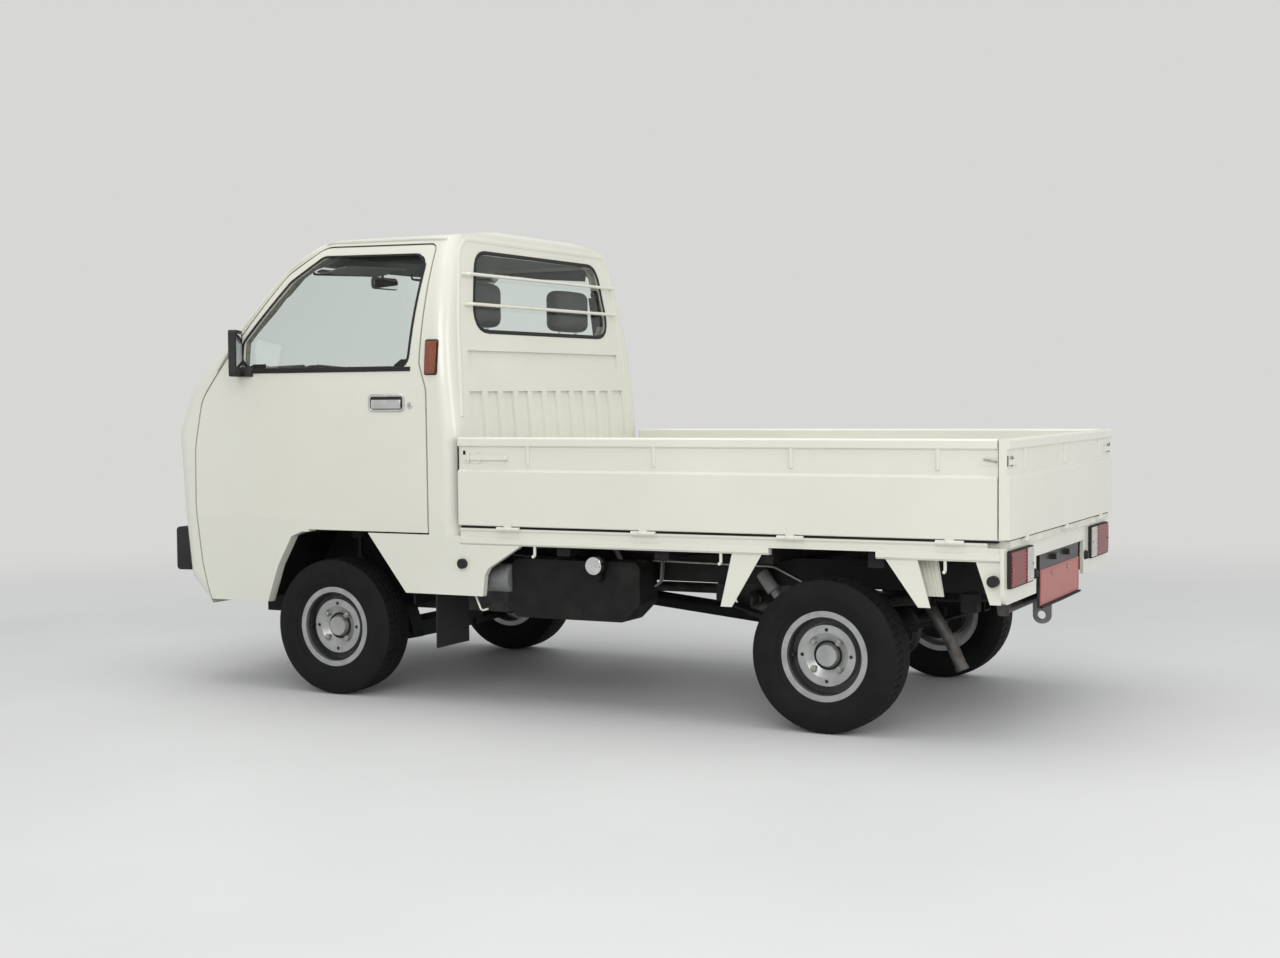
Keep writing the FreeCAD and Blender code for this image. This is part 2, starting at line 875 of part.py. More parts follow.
def left_skirt():
    """Lower body side between the front wheel and the bed."""
    points = [(arch_rear_x, arch_low_z), (arch_rear_x, crease_z), (gate_front_x, crease_z),
              (gate_front_x, sill_low_z), (skirt_rear_x, sill_low_z), (skirt_rear_x, skirt_tail_z),
              (skirt_toe_x - skirt_toe_run, skirt_foot_z + skirt_toe_run),
              (skirt_toe_x - skirt_toe_step, skirt_foot_z), (skirt_toe_x, arch_low_z)]
    band = side_band(0).cut(side_band(skirt_thickness))
    lip = [(arch_rear_x + arch_skirt_reach, crease_z), (arch_rear_x, crease_z), (arch_rear_x, arch_low_z)]
    panel = prism("xz", points, 0, half_width).fuse(prism("xz", lip, 0, half_width))
    return panel.common(band).cut(arch_cutter(0)).removeSplitter()


def left_side(skin):
    """Pillars and rail round the door, with the skirt below."""
    upper = box(-far, far, 0, far, crease_z, roof_height + overrun)
    pillars = skin.common(upper).cut([door_cutter(moving_gap), roof_cutter(), rear_wall_cutter(),
                                      front_cutter()])
    return fused([pillars, left_skirt()])


def roof(skin):
    return skin.common(roof_cutter()).cut(rear_wall_cutter())


def rear_wall(skin):
    """Back of the cab: a channel across it and a ribbed recess down to the bed."""
    wall = skin.common(rear_wall_cutter())
    channel = box(-far, 0, -channel_half, channel_half, channel_low_z, channel_high_z)
    recess = box(-far, 0, -recess_half, recess_half, bed_level_z, recess_high_z)
    pitch = 2 * recess_half / (rib_count + 1)
    ribs = []
    for index in range(rib_count):
        rib_y = -recess_half + (index + 1) * pitch
        ribs.append(box(-far, 0, rib_y - rib_width / 2, rib_y + rib_width / 2, 0, recess_high_z))
    pressed = in_layer(channel.fuse(recess.cut(ribs)), 0, press_depth)
    return wall.cut(pressed)


def front_panel(skin):
    return skin.common(front_cutter())


def cab_glass():
    inner_depth = screen_glass_depth + window_glass_thickness
    screen = in_layer(screen_cutter(), screen_glass_depth, inner_depth)
    rear = in_layer(rear_window_cutter(), screen_glass_depth, inner_depth)
    return Part.makeCompound([screen, rear])


def window_guard():
    """Two bars across the rear window on small end feet."""
    bars = []
    for bar_z in (guard_low_z, guard_high_z):
        wall_x = wall_x_at(bar_z)
        bar_x = wall_x - guard_standoff
        points = [V(wall_x, -guard_half, bar_z), V(bar_x, -guard_half, bar_z),
                  V(bar_x, guard_half, bar_z), V(wall_x, guard_half, bar_z)]
        bars.append(bent_rod(points, guard_radius, guard_radius * 2).cut(form(0)))
    return Part.makeCompound(bars)


def wall_x_at(level):
    """Rear face of the cab at a height, on the centreline."""
    line = box(-far, 0, -seat_gap, seat_gap, level - seat_gap, level + seat_gap)
    return form(0).common(line).BoundBox.XMin


# Nose trim

def lamp_tube(side):
    return rod(V(0, side * head_lamp_half, head_lamp_z),
               V(nose_reach + overrun, side * head_lamp_half, head_lamp_z), head_lamp_radius)


def headlamps():
    lamps = []
    for side in (-1, 1):
        lens_tube = rod(V(0, side * head_lamp_half, head_lamp_z),
                        V(nose_reach + overrun, side * head_lamp_half, head_lamp_z),
                        head_lamp_radius - head_lamp_ring)
        ring = in_layer(lamp_tube(side).cut(lens_tube), -trim_proud, cab_wall)
        lens = in_layer(lens_tube, 0, cab_wall)
        lamps.append(fused([ring, lens]))
    return Part.makeCompound(lamps)


def grille_cutter(shrink):
    points = both_sides([(grille_half - shrink, grille_low_z + shrink, grille_radius),
                         (grille_half - shrink, grille_high_z - shrink, grille_radius)])
    return prism("yz", points, 0, nose_reach + overrun)


def grille():
    """Frame with level slats between the headlamps."""
    frame = in_layer(grille_cutter(0).cut(grille_cutter(grille_frame)), -trim_proud, cab_wall)
    pitch = (grille_high_z - grille_low_z) / (grille_slat_count + 1)
    slats = []
    for index in range(grille_slat_count):
        slat_z = grille_low_z + (index + 1) * pitch
        slat = box(0, far, -grille_half + grille_frame / 2, grille_half - grille_frame / 2,
                   slat_z - grille_slat_height / 2, slat_z + grille_slat_height / 2)
        slats.append(in_layer(slat, 0, cab_wall / 2))
    back = in_layer(grille_cutter(grille_frame / 2), cab_wall / 2, cab_wall)
    return fused([frame, back] + slats)


def bumper():
    """Bowed bar seated on the nose."""
    bow_x = nose_reach - nose_bow_radius
    points = [(0, bumper_low_z), (front_overhang, bumper_low_z, bumper_edge_radius),
              (front_overhang, bumper_high_z, bumper_edge_radius), (0, bumper_high_z)]
    face = Part.Face(outline("xz", points, 0))
    sweep = math.degrees(math.asin(bumper_end_half / (front_overhang - bow_x)))
    face.rotate(V(bow_x, 0, 0), V(0, 0, 1), -sweep)
    bar = face.revolve(V(bow_x, 0, 0), V(0, 0, 1), 2 * sweep)
    return bar.cut([form(0), box(-far, bumper_rear_x, -far, far, 0, far)])


def indicators():
    """Amber lamps: one pair in the bumper and one repeater behind each door."""
    lamps = []
    for side in (-1, 1):
        lamp = box(0, front_overhang, indicator_half - indicator_width / 2,
                   indicator_half + indicator_width / 2,
                   indicator_z - indicator_height / 2, indicator_z + indicator_height / 2)
        lamp = in_layer(lamp, -trim_proud, 0)
        repeater = prism("xz", [
            (repeater_x - repeater_width / 2, repeater_low_z, repeater_radius),
            (repeater_x + repeater_width / 2, repeater_low_z, repeater_radius),
            (repeater_x + repeater_width / 2, repeater_high_z, repeater_radius),
            (repeater_x - repeater_width / 2, repeater_high_z, repeater_radius)], 0, far)
        repeater = in_layer(repeater, -trim_proud, 0)
        lamps.append(side_of(lamp, side))
        lamps.append(side_of(repeater, side))
    return Part.makeCompound(lamps)


# Cab inside

def cab_floor():
    """Footwell, toe slope along the wheel arch and the box under the seats."""
    slope_top = (seat_base_front_x, seat_base_z)
    points = [(footwell_front_x, cab_floor_z), (footwell_front_x, cab_floor_z + floor_thickness),
              (footwell_rear_x + floor_thickness, cab_floor_z + floor_thickness),
              (slope_top[0] + floor_thickness, slope_top[1] + floor_thickness),
              (seat_base_rear_x, slope_top[1] + floor_thickness), (seat_base_rear_x, slope_top[1]),
              slope_top, (footwell_rear_x, cab_floor_z)]
    pan = prism("xz", points, -half_width, half_width).common(form(cab_wall + moving_gap))
    toe_half = footwell_toe_half
    toe = box(footwell_front_x - overrun, nose_reach, -toe_half, toe_half, cab_floor_z,
              cab_floor_z + floor_thickness).common(form(cab_wall))
    heel = box(-cab_back, seat_base_rear_x + floor_thickness, -rear_wall_half, rear_wall_half,
               seat_base_z, seat_base_z + floor_thickness).common(form(cab_wall))
    room = wheel_room(wheelhouse_inner, arch_skin)
    return fused([pan, toe, heel]).cut([room, mirrored(room)])


def wheelhouse():
    """Sheet arch over the left front wheel with its inner wall."""
    shell = wheel_room(wheelhouse_inner, arch_skin).cut(wheel_room(wheelhouse_inner + arch_skin, 0))
    keep = form(cab_wall + moving_gap).common(box(-far, far, 0, far, cab_floor_z, seat_base_z))
    return shell.common(keep)


def seat(side):
    """Cushion, leaning back and head rest."""
    y_low = side * seat_half - seat_width / 2
    y_high = side * seat_half + seat_width / 2
    base = seat_base_z + floor_thickness
    radius = cushion_height * soft_radius_share
    cushion = prism("xz", [
        (cushion_rear_x, base + seat_gap), (cushion_front_x, base + seat_gap, radius / 2),
        (cushion_front_x, base + cushion_height, radius), (cushion_rear_x, base + cushion_height)],
        y_low, y_high)
    back_low = base + cushion_height / 2
    back = prism("xz", [
        (cushion_rear_x - back_thickness, back_low), (cushion_rear_x, back_low),
        (cushion_rear_x, back_low + back_height, radius),
        (cushion_rear_x - back_thickness, back_low + back_height, radius / 2)], y_low, y_high)
    back.rotate(V(cushion_rear_x, 0, back_low), V(0, 1, 0), -back_lean_angle)
    head_x = cushion_rear_x - headrest_setback
    radius = headrest_thickness * soft_radius_share
    head = prism("xz", [
        (head_x - headrest_thickness, headrest_low_z, radius),
        (head_x, headrest_low_z, radius), (head_x, headrest_low_z + headrest_height, radius),
        (head_x - headrest_thickness, headrest_low_z + headrest_height, radius)],
        side * seat_half - headrest_width / 2, side * seat_half + headrest_width / 2)
    post_x = head_x - headrest_thickness / 2
    posts = [rod(V(post_x, side * seat_half + sign * headrest_width / 4, headrest_low_z - headrest_post),
                 V(post_x, side * seat_half + sign * headrest_width / 4, headrest_low_z + radius),
                 guard_radius) for sign in (-1, 1)]
    posts = [post.cut(back) for post in posts]
    return Part.makeCompound([cushion.cut(back), back, fused(posts + [head])])


def dashboard():
    points = [(dash_rear_x, dash_low_z, dash_radius), (dash_front_x, dash_low_z),
              (nose_reach, dash_low_z), (nose_reach, dash_high_z),
              (dash_rear_x + dash_radius, dash_high_z, dash_radius),
              (dash_rear_x, dash_high_z - dash_radius)]
    top = prism("xz", points, -dash_half, dash_half)
    column_y = driver_side * seat_half
    bracket = box(dash_rear_x + dash_radius, dash_rear_x + dash_radius + column_bracket_reach,
                  column_y - column_bracket_width / 2, column_y + column_bracket_width / 2,
                  dash_low_z - 2 * column_bracket_reach, dash_low_z)
    return fused([top, bracket]).common(form(cab_wall)).cut(steering_wheel())


def steering_wheel():
    """Rim, spokes, hub and column, leaning toward the driver."""
    rim = Part.makeTorus(wheel_rim_radius, wheel_rim_tube)
    hub = Part.makeCylinder(wheel_hub_radius, wheel_hub_height, V(0, 0, -wheel_hub_height))
    column = Part.makeCylinder(column_radius, column_length, V(0, 0, -column_length))
    spokes = []
    for index in range(wheel_spoke_count):
        angle = 2 * math.pi * index / wheel_spoke_count
        tip = V(wheel_rim_radius * math.cos(angle), wheel_rim_radius * math.sin(angle), 0)
        spokes.append(rod(V(0, 0, -wheel_hub_height / 2), tip, wheel_spoke_radius))
    wheel = fused([rim, hub, column] + spokes)
    wheel.rotate(V(0, 0, 0), V(0, 1, 0), -wheel_tilt_angle)
    wheel.translate(V(wheel_centre_x, driver_side * seat_half, wheel_centre_z))
    return wheel.common(form(cab_wall))


# Load bed

def gate_section(inner, outer):
    """Pressed gate in section: rail, recessed band and main panel; outer faces the world."""
    sign = 1 if outer > inner else -1
    band = outer - sign * band_depth
    edge = gate_edge
    return [(inner, gate_low_z), (outer, gate_low_z), (outer, band_low_z - band_depth),
            (band, band_low_z), (band, band_high_z), (outer, band_high_z + edge),
            (outer, gate_high_z - edge), (outer - sign * edge, gate_high_z),
            (inner + sign * edge, gate_high_z), (inner, gate_high_z - edge)]


def hinge_knuckles(centre, along, lean):
    """One hinge along an axis: fixed ends with the pin, and the moving knuckle."""
    third = hinge_length / 3
    fixed = []
    start = centre - along * (hinge_length / 2)
    fixed.append(rod(start, start + along * (third - seat_gap), hinge_radius))
    finish = centre + along * (hinge_length / 2)
    fixed.append(rod(finish, finish - along * (third - seat_gap), hinge_radius))
    fixed.append(rod(start, finish, hinge_pin_radius))
    half_reach = along * (third / 2 - seat_gap)
    moving = rod(centre - half_reach, centre + half_reach, hinge_radius)
    web_low = centre - half_reach - lean * hinge_pin_radius
    web_high = centre + half_reach + lean * hinge_pin_radius
    web = box(min(web_low.x, web_high.x), max(web_low.x, web_high.x), min(web_low.y, web_high.y),
              max(web_low.y, web_high.y), centre.z, gate_low_z + gate_edge)
    bore = rod(start, finish, hinge_pin_radius + hinge_pin_gap)
    return fused(fixed), fused([moving, web]).cut(bore)


def side_hinge_spots():
    span = gate_rear_x - gate_front_x
    return [V(gate_front_x + share * span, half_width, hinge_z) for share in side_hinge_places_shares]


def tail_hinge_spots():
    return [V(tailgate_face_x, share * half_width, hinge_z) for share in tail_hinge_places_shares]


def left_gate():
    panel = prism("yz", gate_section(half_width - gate_thickness, half_width), gate_rear_x, gate_front_x)
    pieces = [panel]
    span = gate_rear_x - gate_front_x
    for share in peg_places_shares:
        spot = V(gate_front_x + share * span, half_width - band_depth, band_low_z + peg_lift)
        pieces.append(rod(spot, V(spot.x, spot.y, band_high_z + gate_edge), peg_radius))
    latch_x = gate_front_x - latch_setback
    pieces.append(box(latch_x - latch_length, latch_x, half_width - band_depth - seat_gap,
                      half_width - seat_gap, band_low_z + latch_rise, band_low_z + latch_rise + latch_height))
    for spot in side_hinge_spots():
        pieces.append(hinge_knuckles(spot, V(1, 0, 0), V(0, 1, 0))[1])
    return fused(pieces)


def tailgate():
    section = gate_section(tailgate_face_x + tailgate_thickness, tailgate_face_x)
    pieces = [prism("xz", section, -half_width, half_width)]
    for share in tail_hinge_places_shares:
        spot = V(tailgate_face_x + band_depth, share * half_width, band_low_z + peg_lift)
        pieces.append(rod(spot, V(spot.x, spot.y, band_high_z + gate_edge), peg_radius))
    for side in (-1, 1):
        y_out = side * (half_width - latch_setback)
        y_in = side * (half_width - latch_setback - latch_length / 2)
        pieces.append(box(tailgate_face_x + seat_gap, tailgate_face_x + band_depth + seat_gap,
                          min(y_out, y_in), max(y_out, y_in), band_low_z + latch_rise,
                          band_low_z + latch_rise + latch_height))
    for spot in tail_hinge_spots():
        pieces.append(hinge_knuckles(spot, V(0, 1, 0), V(1, 0, 0))[1])
    return fused(pieces)


def bed_deck():
    """Deck plate with pressed ribs, and the rear beam with its hinge halves."""
    deck_low_z = bed_level_z - deck_thickness
    pieces = [box(deck_rear_x, gate_front_x, -deck_half, deck_half, deck_low_z, bed_level_z)]
    pitch = 2 * deck_half / (deck_rib_count + 1)
    for index in range(deck_rib_count):
        rib_y = -deck_half + (index + 1) * pitch
        pieces.append(prism("yz", [
            (rib_y - deck_rib_width / 2, bed_level_z - deck_rib_height),
            (rib_y + deck_rib_width / 2, bed_level_z - deck_rib_height),
            (rib_y + deck_rib_width / 2 - deck_rib_height, bed_level_z + deck_rib_height),
            (rib_y - deck_rib_width / 2 + deck_rib_height, bed_level_z + deck_rib_height)],
            deck_rear_x + deck_rib_width, gate_front_x - deck_rib_width))
    rear_beam = box(tailgate_face_x + hinge_radius, deck_rear_x, -deck_half, deck_half,
                    rear_beam_low_z, bed_level_z)
    pieces.append(rear_beam)
    for spot in tail_hinge_spots():
        pieces.append(hinge_knuckles(spot, V(0, 1, 0), V(1, 0, 0))[0])
        for sign in (-1, 1):
            lug_y = spot.y + sign * hinge_length / 3
            pieces.append(box(spot.x, spot.x + 2 * hinge_radius, lug_y - hinge_length / 6 + seat_gap,
                              lug_y + hinge_length / 6 - seat_gap, spot.z - hinge_radius, spot.z))
    return fused(pieces)


def deck_bearers():
    """Bearers across the frame under the deck, and the post that carries the spare wheel."""
    deck_low_z = bed_level_z - deck_thickness
    span = gate_front_x - deck_rear_x - cross_bearer_width
    bearers = []
    for index in range(cross_bearer_count):
        bearer_x = deck_rear_x + span * index / (cross_bearer_count - 1)
        bearers.append(box(bearer_x, bearer_x + cross_bearer_width, -deck_half, deck_half,
                           rail_high_z, deck_low_z))
    post_low_z = spare_low_z + tyre_width / 2 - disc_face_y - hub_cap_rise + rim_wall
    post = rod(V(spare_x, 0, post_low_z), V(spare_x, 0, deck_low_z), spindle_radius)
    return Part.makeCompound(bearers + [post])


def left_sill():
    """Side sill with its crease, rope hooks and the fixed hinge halves."""
    inner = sill_half - sill_thickness
    crease = sill_crease
    middle_z = share_between(sill_low_z, sill_top_z, middle_share)
    section = [(inner, sill_low_z), (sill_half - crease, sill_low_z), (sill_half, sill_low_z + crease),
               (sill_half, middle_z - crease), (sill_half - crease, middle_z),
               (sill_half - crease, sill_top_z - 2 * crease), (sill_half, sill_top_z - crease),
               (sill_half, sill_top_z), (inner, sill_top_z)]
    sill = prism("yz", section, sill_rear_x, gate_front_x)
    notch = box(rear_arch_rear_x, rear_arch_front_x, 0, far, 0, rear_arch_z)
    pieces = [sill.cut(notch)]
    span = sill_rear_x - skirt_rear_x
    hook_y = sill_half - sill_thickness / 2
    for share in hook_places_shares:
        hook_x = skirt_rear_x + share * span
        pieces.append(bent_rod([
            V(hook_x, hook_y, sill_low_z + crease), V(hook_x, hook_y, hook_low_z + hook_radius),
            V(hook_x, sill_half, hook_low_z + hook_radius)], hook_radius, hook_bend))
    for spot in side_hinge_spots():
        pieces.append(hinge_knuckles(spot, V(1, 0, 0), V(0, 1, 0))[0])
        for sign in (-1, 1):
            lug_x = spot.x + sign * hinge_length / 3
            pieces.append(box(lug_x - hinge_length / 6 + seat_gap, lug_x + hinge_length / 6 - seat_gap,
                              deck_half, spot.y, spot.z - hinge_pin_radius, spot.z))
    return fused(pieces)


def left_arch_stays():
    """Flat stays that lean from the sill before and behind the rear wheel."""
    stays = []
    for root_x, sign, low_z in (
            (rear_arch_front_x + stay_root_inset, 1, front_stay_low_z),
            (rear_arch_rear_x - stay_root_inset, -1, rear_stay_low_z)):
        stays.append(prism("xz", [
            (root_x, sill_low_z), (root_x + sign * stay_reach, low_z),
            (root_x + sign * (stay_reach + stay_width), low_z),
            (root_x + sign * stay_root_width, sill_low_z)], stay_half - stay_thickness, stay_half))
    return stays


def arch_stays():
    pieces = []
    for side in (-1, 1):
        pieces += [side_of(piece, side) for piece in left_arch_stays()]
        pieces.append(side_of(left_corner_post(), side))
    return Part.makeCompound(pieces)


def left_corner_post():
    """Panel behind the rear wheel that closes the sill's end."""
    return prism("xz", [
        (sill_rear_x + corner_post_width, sill_low_z), (sill_rear_x - moving_gap, corner_post_low_z),
        (rear_panel_x, corner_post_low_z), (rear_panel_x, sill_low_z)], stay_half - stay_thickness, stay_half)


def rear_panel():
    middle = rear_panel_middle_half
    points = both_sides([
        (middle + rear_panel_gap, rear_panel_middle_z), (middle + rear_panel_gap, rear_panel_low_z),
        (sill_half, rear_panel_low_z, corner_post_width), (sill_half, rear_beam_low_z)])
    return prism("yz", points, rear_panel_x - rear_panel_thickness, rear_panel_x)


def tail_lamps():
    lamps = []
    face_x = rear_panel_x - rear_panel_thickness
    split = share_between(tail_lamp_inner, tail_lamp_outer, tail_lamp_clear_share)
    for side in (-1, 1):
        for low, high in ((tail_lamp_inner, split), (split, tail_lamp_outer)):
            lamp = box(face_x - tail_lamp_depth, face_x, low, high, tail_lamp_low_z, tail_lamp_high_z)
            lamps.append(side_of(lamp, side))
    return Part.makeCompound(lamps)


def number_plate():
    """Blank plate on its holder under the middle of the rear panel, with two lamps."""
    low = plate_high_z - plate_height
    holder_front = rear_panel_x
    holder = box(holder_front - plate_holder_thickness, holder_front, -plate_width / 2, plate_width / 2,
                 low - plate_holder_thickness, rear_panel_middle_z)
    face_x = holder_front - plate_holder_thickness
    plate = box(face_x - plate_thickness, face_x, -plate_width / 2, plate_width / 2, low, plate_high_z)
    lamps = []
    for side in (-1, 1):
        y_low = side * plate_lamp_half - plate_lamp_width / 2
        lamps.append(box(face_x - plate_lamp_depth, face_x, y_low, y_low + plate_lamp_width,
                         rear_panel_middle_z - plate_lamp_height - rear_panel_gap / 2,
                         rear_panel_middle_z - rear_panel_gap / 2))
    return Part.makeCompound([holder, plate] + lamps)


# Frame

def rail_path():
    """Plan of the left rail: narrow between the front wheels, wide under the bed."""
    return [(rail_front_x, rail_front_half), (rail_jog_front_x, rail_front_half),
            (rail_jog_rear_x, rail_half), (rail_rear_x, rail_half)]


def left_rail():
    """Rail that drops below the footwell ahead of the front axle."""
    outer = [(x, y + rail_width) for x, y in rail_path()]
    inner = list(reversed(rail_path()))
    plan = prism("xy", outer + inner, 0, roof_height)
    side_view = [
        (rail_front_x, rail_foot_low_z), (rail_front_x, rail_foot_high_z), (rail_foot_x, rail_foot_high_z),
        (rail_rise_x, rail_high_z), (rail_rear_x, rail_high_z), (rail_rear_x, rail_low_z),
        (rail_rise_x - rail_rise_lead, rail_low_z), (rail_foot_x - rail_rise_lead, rail_foot_low_z)]
    return prism("xz", side_view, 0, half_width).common(plan)


def rails():
    """Both rails with the brackets that carry the rear springs."""
    pieces = [left_rail()]
    for reach in (spring_front_reach, -spring_rear_reach):
        eye_x = rear_axle_x + reach
        pieces.append(box(eye_x - spring_width / 2, eye_x + spring_width / 2,
                          spring_half - spring_width / 2, spring_half + spring_width / 2,
                          spring_top_z, rail_low_z))
    return pair(fused(pieces))


def cross_members():
    """Members between the rails; the last one carries the tow eye."""
    members = []
    low_z = rail_high_z - cross_member_height
    for share in cross_member_places_shares:
        member_x = share_between(rail_rise_x, rail_rear_x, share)
        members.append(box(member_x - cross_member_width / 2, member_x + cross_member_width / 2,
                           -rail_half, rail_half, low_z, rail_high_z))
    members.append(box(rail_front_x - end_member_width, rail_front_x, -rail_front_half, rail_front_half,
                       rail_foot_low_z, rail_foot_high_z))
    last = box(rail_rear_x, rail_rear_x + end_member_width, -rail_half, rail_half, low_z, rail_high_z)
    return Part.makeCompound(members + [fused([last, tow_eye()])])


def front_suspension():
    """Beam under the engine, hung from the rails, with the wishbones."""
    half = both_sides([
        (front_beam_half, front_beam_low_z), (rail_front_half + rail_width, rail_low_z),
        (rail_front_half, rail_low_z), (front_beam_half - rail_width, front_beam_high_z)])
    beam = prism("yz", half, front_beam_x - front_beam_width / 2, front_beam_x + front_beam_width / 2)
    return fused([beam, lower_arm(), mirrored(lower_arm())])


def tow_eye():
    """Eye plate below the rear end member."""
    centre_x = rail_rear_x + tow_eye_reach
    points = [(rail_rear_x, rail_high_z - cross_member_height),
              (rail_rear_x, tow_eye_z - tow_eye_rim, tow_eye_rim),
              (centre_x + tow_eye_rim, tow_eye_z - tow_eye_rim, tow_eye_rim),
              (centre_x + tow_eye_rim, rail_high_z - cross_member_height)]
    plate = prism("xz", points, -tow_eye_thickness / 2, tow_eye_thickness / 2)
    hole = rod(V(centre_x, -overrun, tow_eye_z), V(centre_x, overrun, tow_eye_z), tow_eye_radius)
    return plate.cut(hole)


def lower_arm():
    """Wishbone from the front beam to the ball joint under the upright."""
    width = lower_arm_width
    root_y = front_beam_half - rail_width
    tip_y = kingpin_half + arm_eye_radius
    plan = [(front_beam_x - width, root_y), (front_beam_x + width, root_y),
            (front_beam_x + arm_eye_radius, tip_y, arm_eye_radius - seat_gap),
            (front_beam_x - arm_eye_radius, tip_y, arm_eye_radius - seat_gap)]
    arm = prism("xy", plan, lower_arm_z, lower_arm_z + lower_arm_height)
    pin = rod(V(0, kingpin_half, 0), V(0, kingpin_half, tyre_radius), kingpin_radius + spindle_gap)
    return arm.cut(pin)


def strut_mount():
    """Cup under the wheelhouse that carries the strut."""
    cup = rod(V(0, kingpin_half, strut_cup_low_z), V(0, kingpin_half, seat_base_z), strut_cup_radius)
    cup = cup.common(wheel_room(0, 0))
    bore = rod(V(0, kingpin_half, 0), V(0, kingpin_half, strut_top_z), strut_rod_radius + spindle_gap)
    return cup.cut(bore)


def knuckle():
    """Left upright with its spindle, strut tube, brake back plate and steering arm."""
    post = box(-upright_width / 2, upright_width / 2, kingpin_half - upright_depth / 2,
               kingpin_half + upright_depth / 2, lower_arm_z + lower_arm_height + moving_gap, upright_high_z)
    pin = rod(V(0, kingpin_half, lower_arm_z), V(0, kingpin_half, tyre_radius), kingpin_radius)
    tube = rod(V(0, kingpin_half, upright_high_z - overrun), V(0, kingpin_half, strut_split_z), strut_radius)
    strut = rod(V(0, kingpin_half, strut_split_z - overrun), V(0, kingpin_half, strut_top_z - strut_clear),
                strut_rod_radius)
    carrier = rod(V(0, kingpin_half, tyre_radius), V(0, back_plate_front_y, tyre_radius), hub_carrier_radius)
    spindle = rod(V(0, kingpin_half, tyre_radius), V(0, track / 2 + hub_face_y, tyre_radius), spindle_radius)
    plate = rod(V(0, back_plate_front_y, tyre_radius),
                V(0, back_plate_front_y + back_plate_thickness, tyre_radius), back_plate_radius)
    arm = prism("xy", [
        (-upright_width / 2 + overrun / 2, kingpin_half - upright_depth / 2),
        (-upright_width / 2 + overrun / 2, kingpin_half), (-upright_width / 2, kingpin_half),
        (-steer_arm_reach, kingpin_half - steer_arm_inset + steer_arm_width / 2),
        (-steer_arm_reach, kingpin_half - steer_arm_inset - steer_arm_width / 2)],
        steer_arm_z - steer_arm_height / 2, steer_arm_z + steer_arm_height / 2)
    return fused([post, pin, tube, strut, carrier, spindle, plate, arm])


# Wheels, drawn at the wheel centre with the outer face to the left

def wheel_tyre():
    half = tyre_width / 2
    bead = rim_width / 2
    shoulder = tread_shoulder_radius
    bulge_radius = share_between(rim_flange_radius, tyre_radius, sidewall_share)
    points = [(-bead, bead_radius), (bead, bead_radius), (bead, rim_flange_radius),
              (half, bulge_radius, half), (half, tyre_radius, shoulder),
              (-half, tyre_radius, shoulder), (-half, bulge_radius, half), (-bead, rim_flange_radius)]
    return turned([points])


def around(count, start_share, radius, low, high, bar_radius):
    """Round bars along Y, evenly spaced on a circle round the wheel's axis."""
    bars = []
    for index in range(count):
        angle = 2 * math.pi * (index + start_share) / count
        x = radius * math.cos(angle)
        z = radius * math.sin(angle)
        bars.append(rod(V(x, low, z), V(x, high, z), bar_radius))
    return bars


def wheel_rim():
    """Steel wheel: flanged barrel, dished disc with lugs and hub cap, brake drum behind."""
    bead = rim_width / 2
    wall = rim_wall
    barrel_radius = bead_radius - wall
    bore = spindle_radius + spindle_gap
    disc_y = disc_face_y
    crown_y = disc_y + disc_crown
    cap_y = disc_y + hub_cap_rise
    edge_y = disc_y - disc_crown
    barrel = [(-bead - wall, rim_flange_radius), (-bead - wall, barrel_radius),
              (bead + wall, barrel_radius), (bead + wall, rim_flange_radius),
              (bead, rim_flange_radius), (bead, bead_radius), (-bead, bead_radius),
              (-bead, rim_flange_radius)]
    slope_radius = lug_circle_radius + lug_radius + wall
    disc = [(cap_y, 0), (cap_y, hub_cap_radius - wall), (disc_y, hub_cap_radius),
            (disc_y, hub_groove_radius), (crown_y, slope_radius), (crown_y, disc_radius - wall),
            (edge_y, disc_radius), (edge_y, bead_radius - wall / 2),
            (edge_y - wall, bead_radius - wall / 2), (edge_y - wall, disc_radius - wall),
            (disc_y - wall, hub_groove_radius), (disc_y - wall, bore), (cap_y - wall, bore),
            (cap_y - wall, 0)]
    drum = [(drum_rear_y, drum_radius), (drum_rear_y, drum_radius - wall),
            (disc_y - 2 * wall, drum_radius - wall), (disc_y - 2 * wall, bore),
            (disc_y, bore), (disc_y - wall / 2, drum_radius)]
    wheel = turned([barrel, disc, drum])
    lugs = around(lug_count, middle_share, lug_circle_radius, disc_y - wall, disc_y + lug_rise, lug_radius)
    vents = around(lug_count, 0, vent_circle_radius, drum_rear_y, disc_y + overrun, vent_radius)
    return fused([wheel] + lugs).cut(vents)


def wheel_at(shape, axle_x, side):
    """Wheel part moved to its place, mirrored for the right side."""
    placed = shape.copy()
    placed.translate(V(axle_x, track / 2, tyre_radius))
    return side_of(placed, side)


# Rear axle, springs and drive line

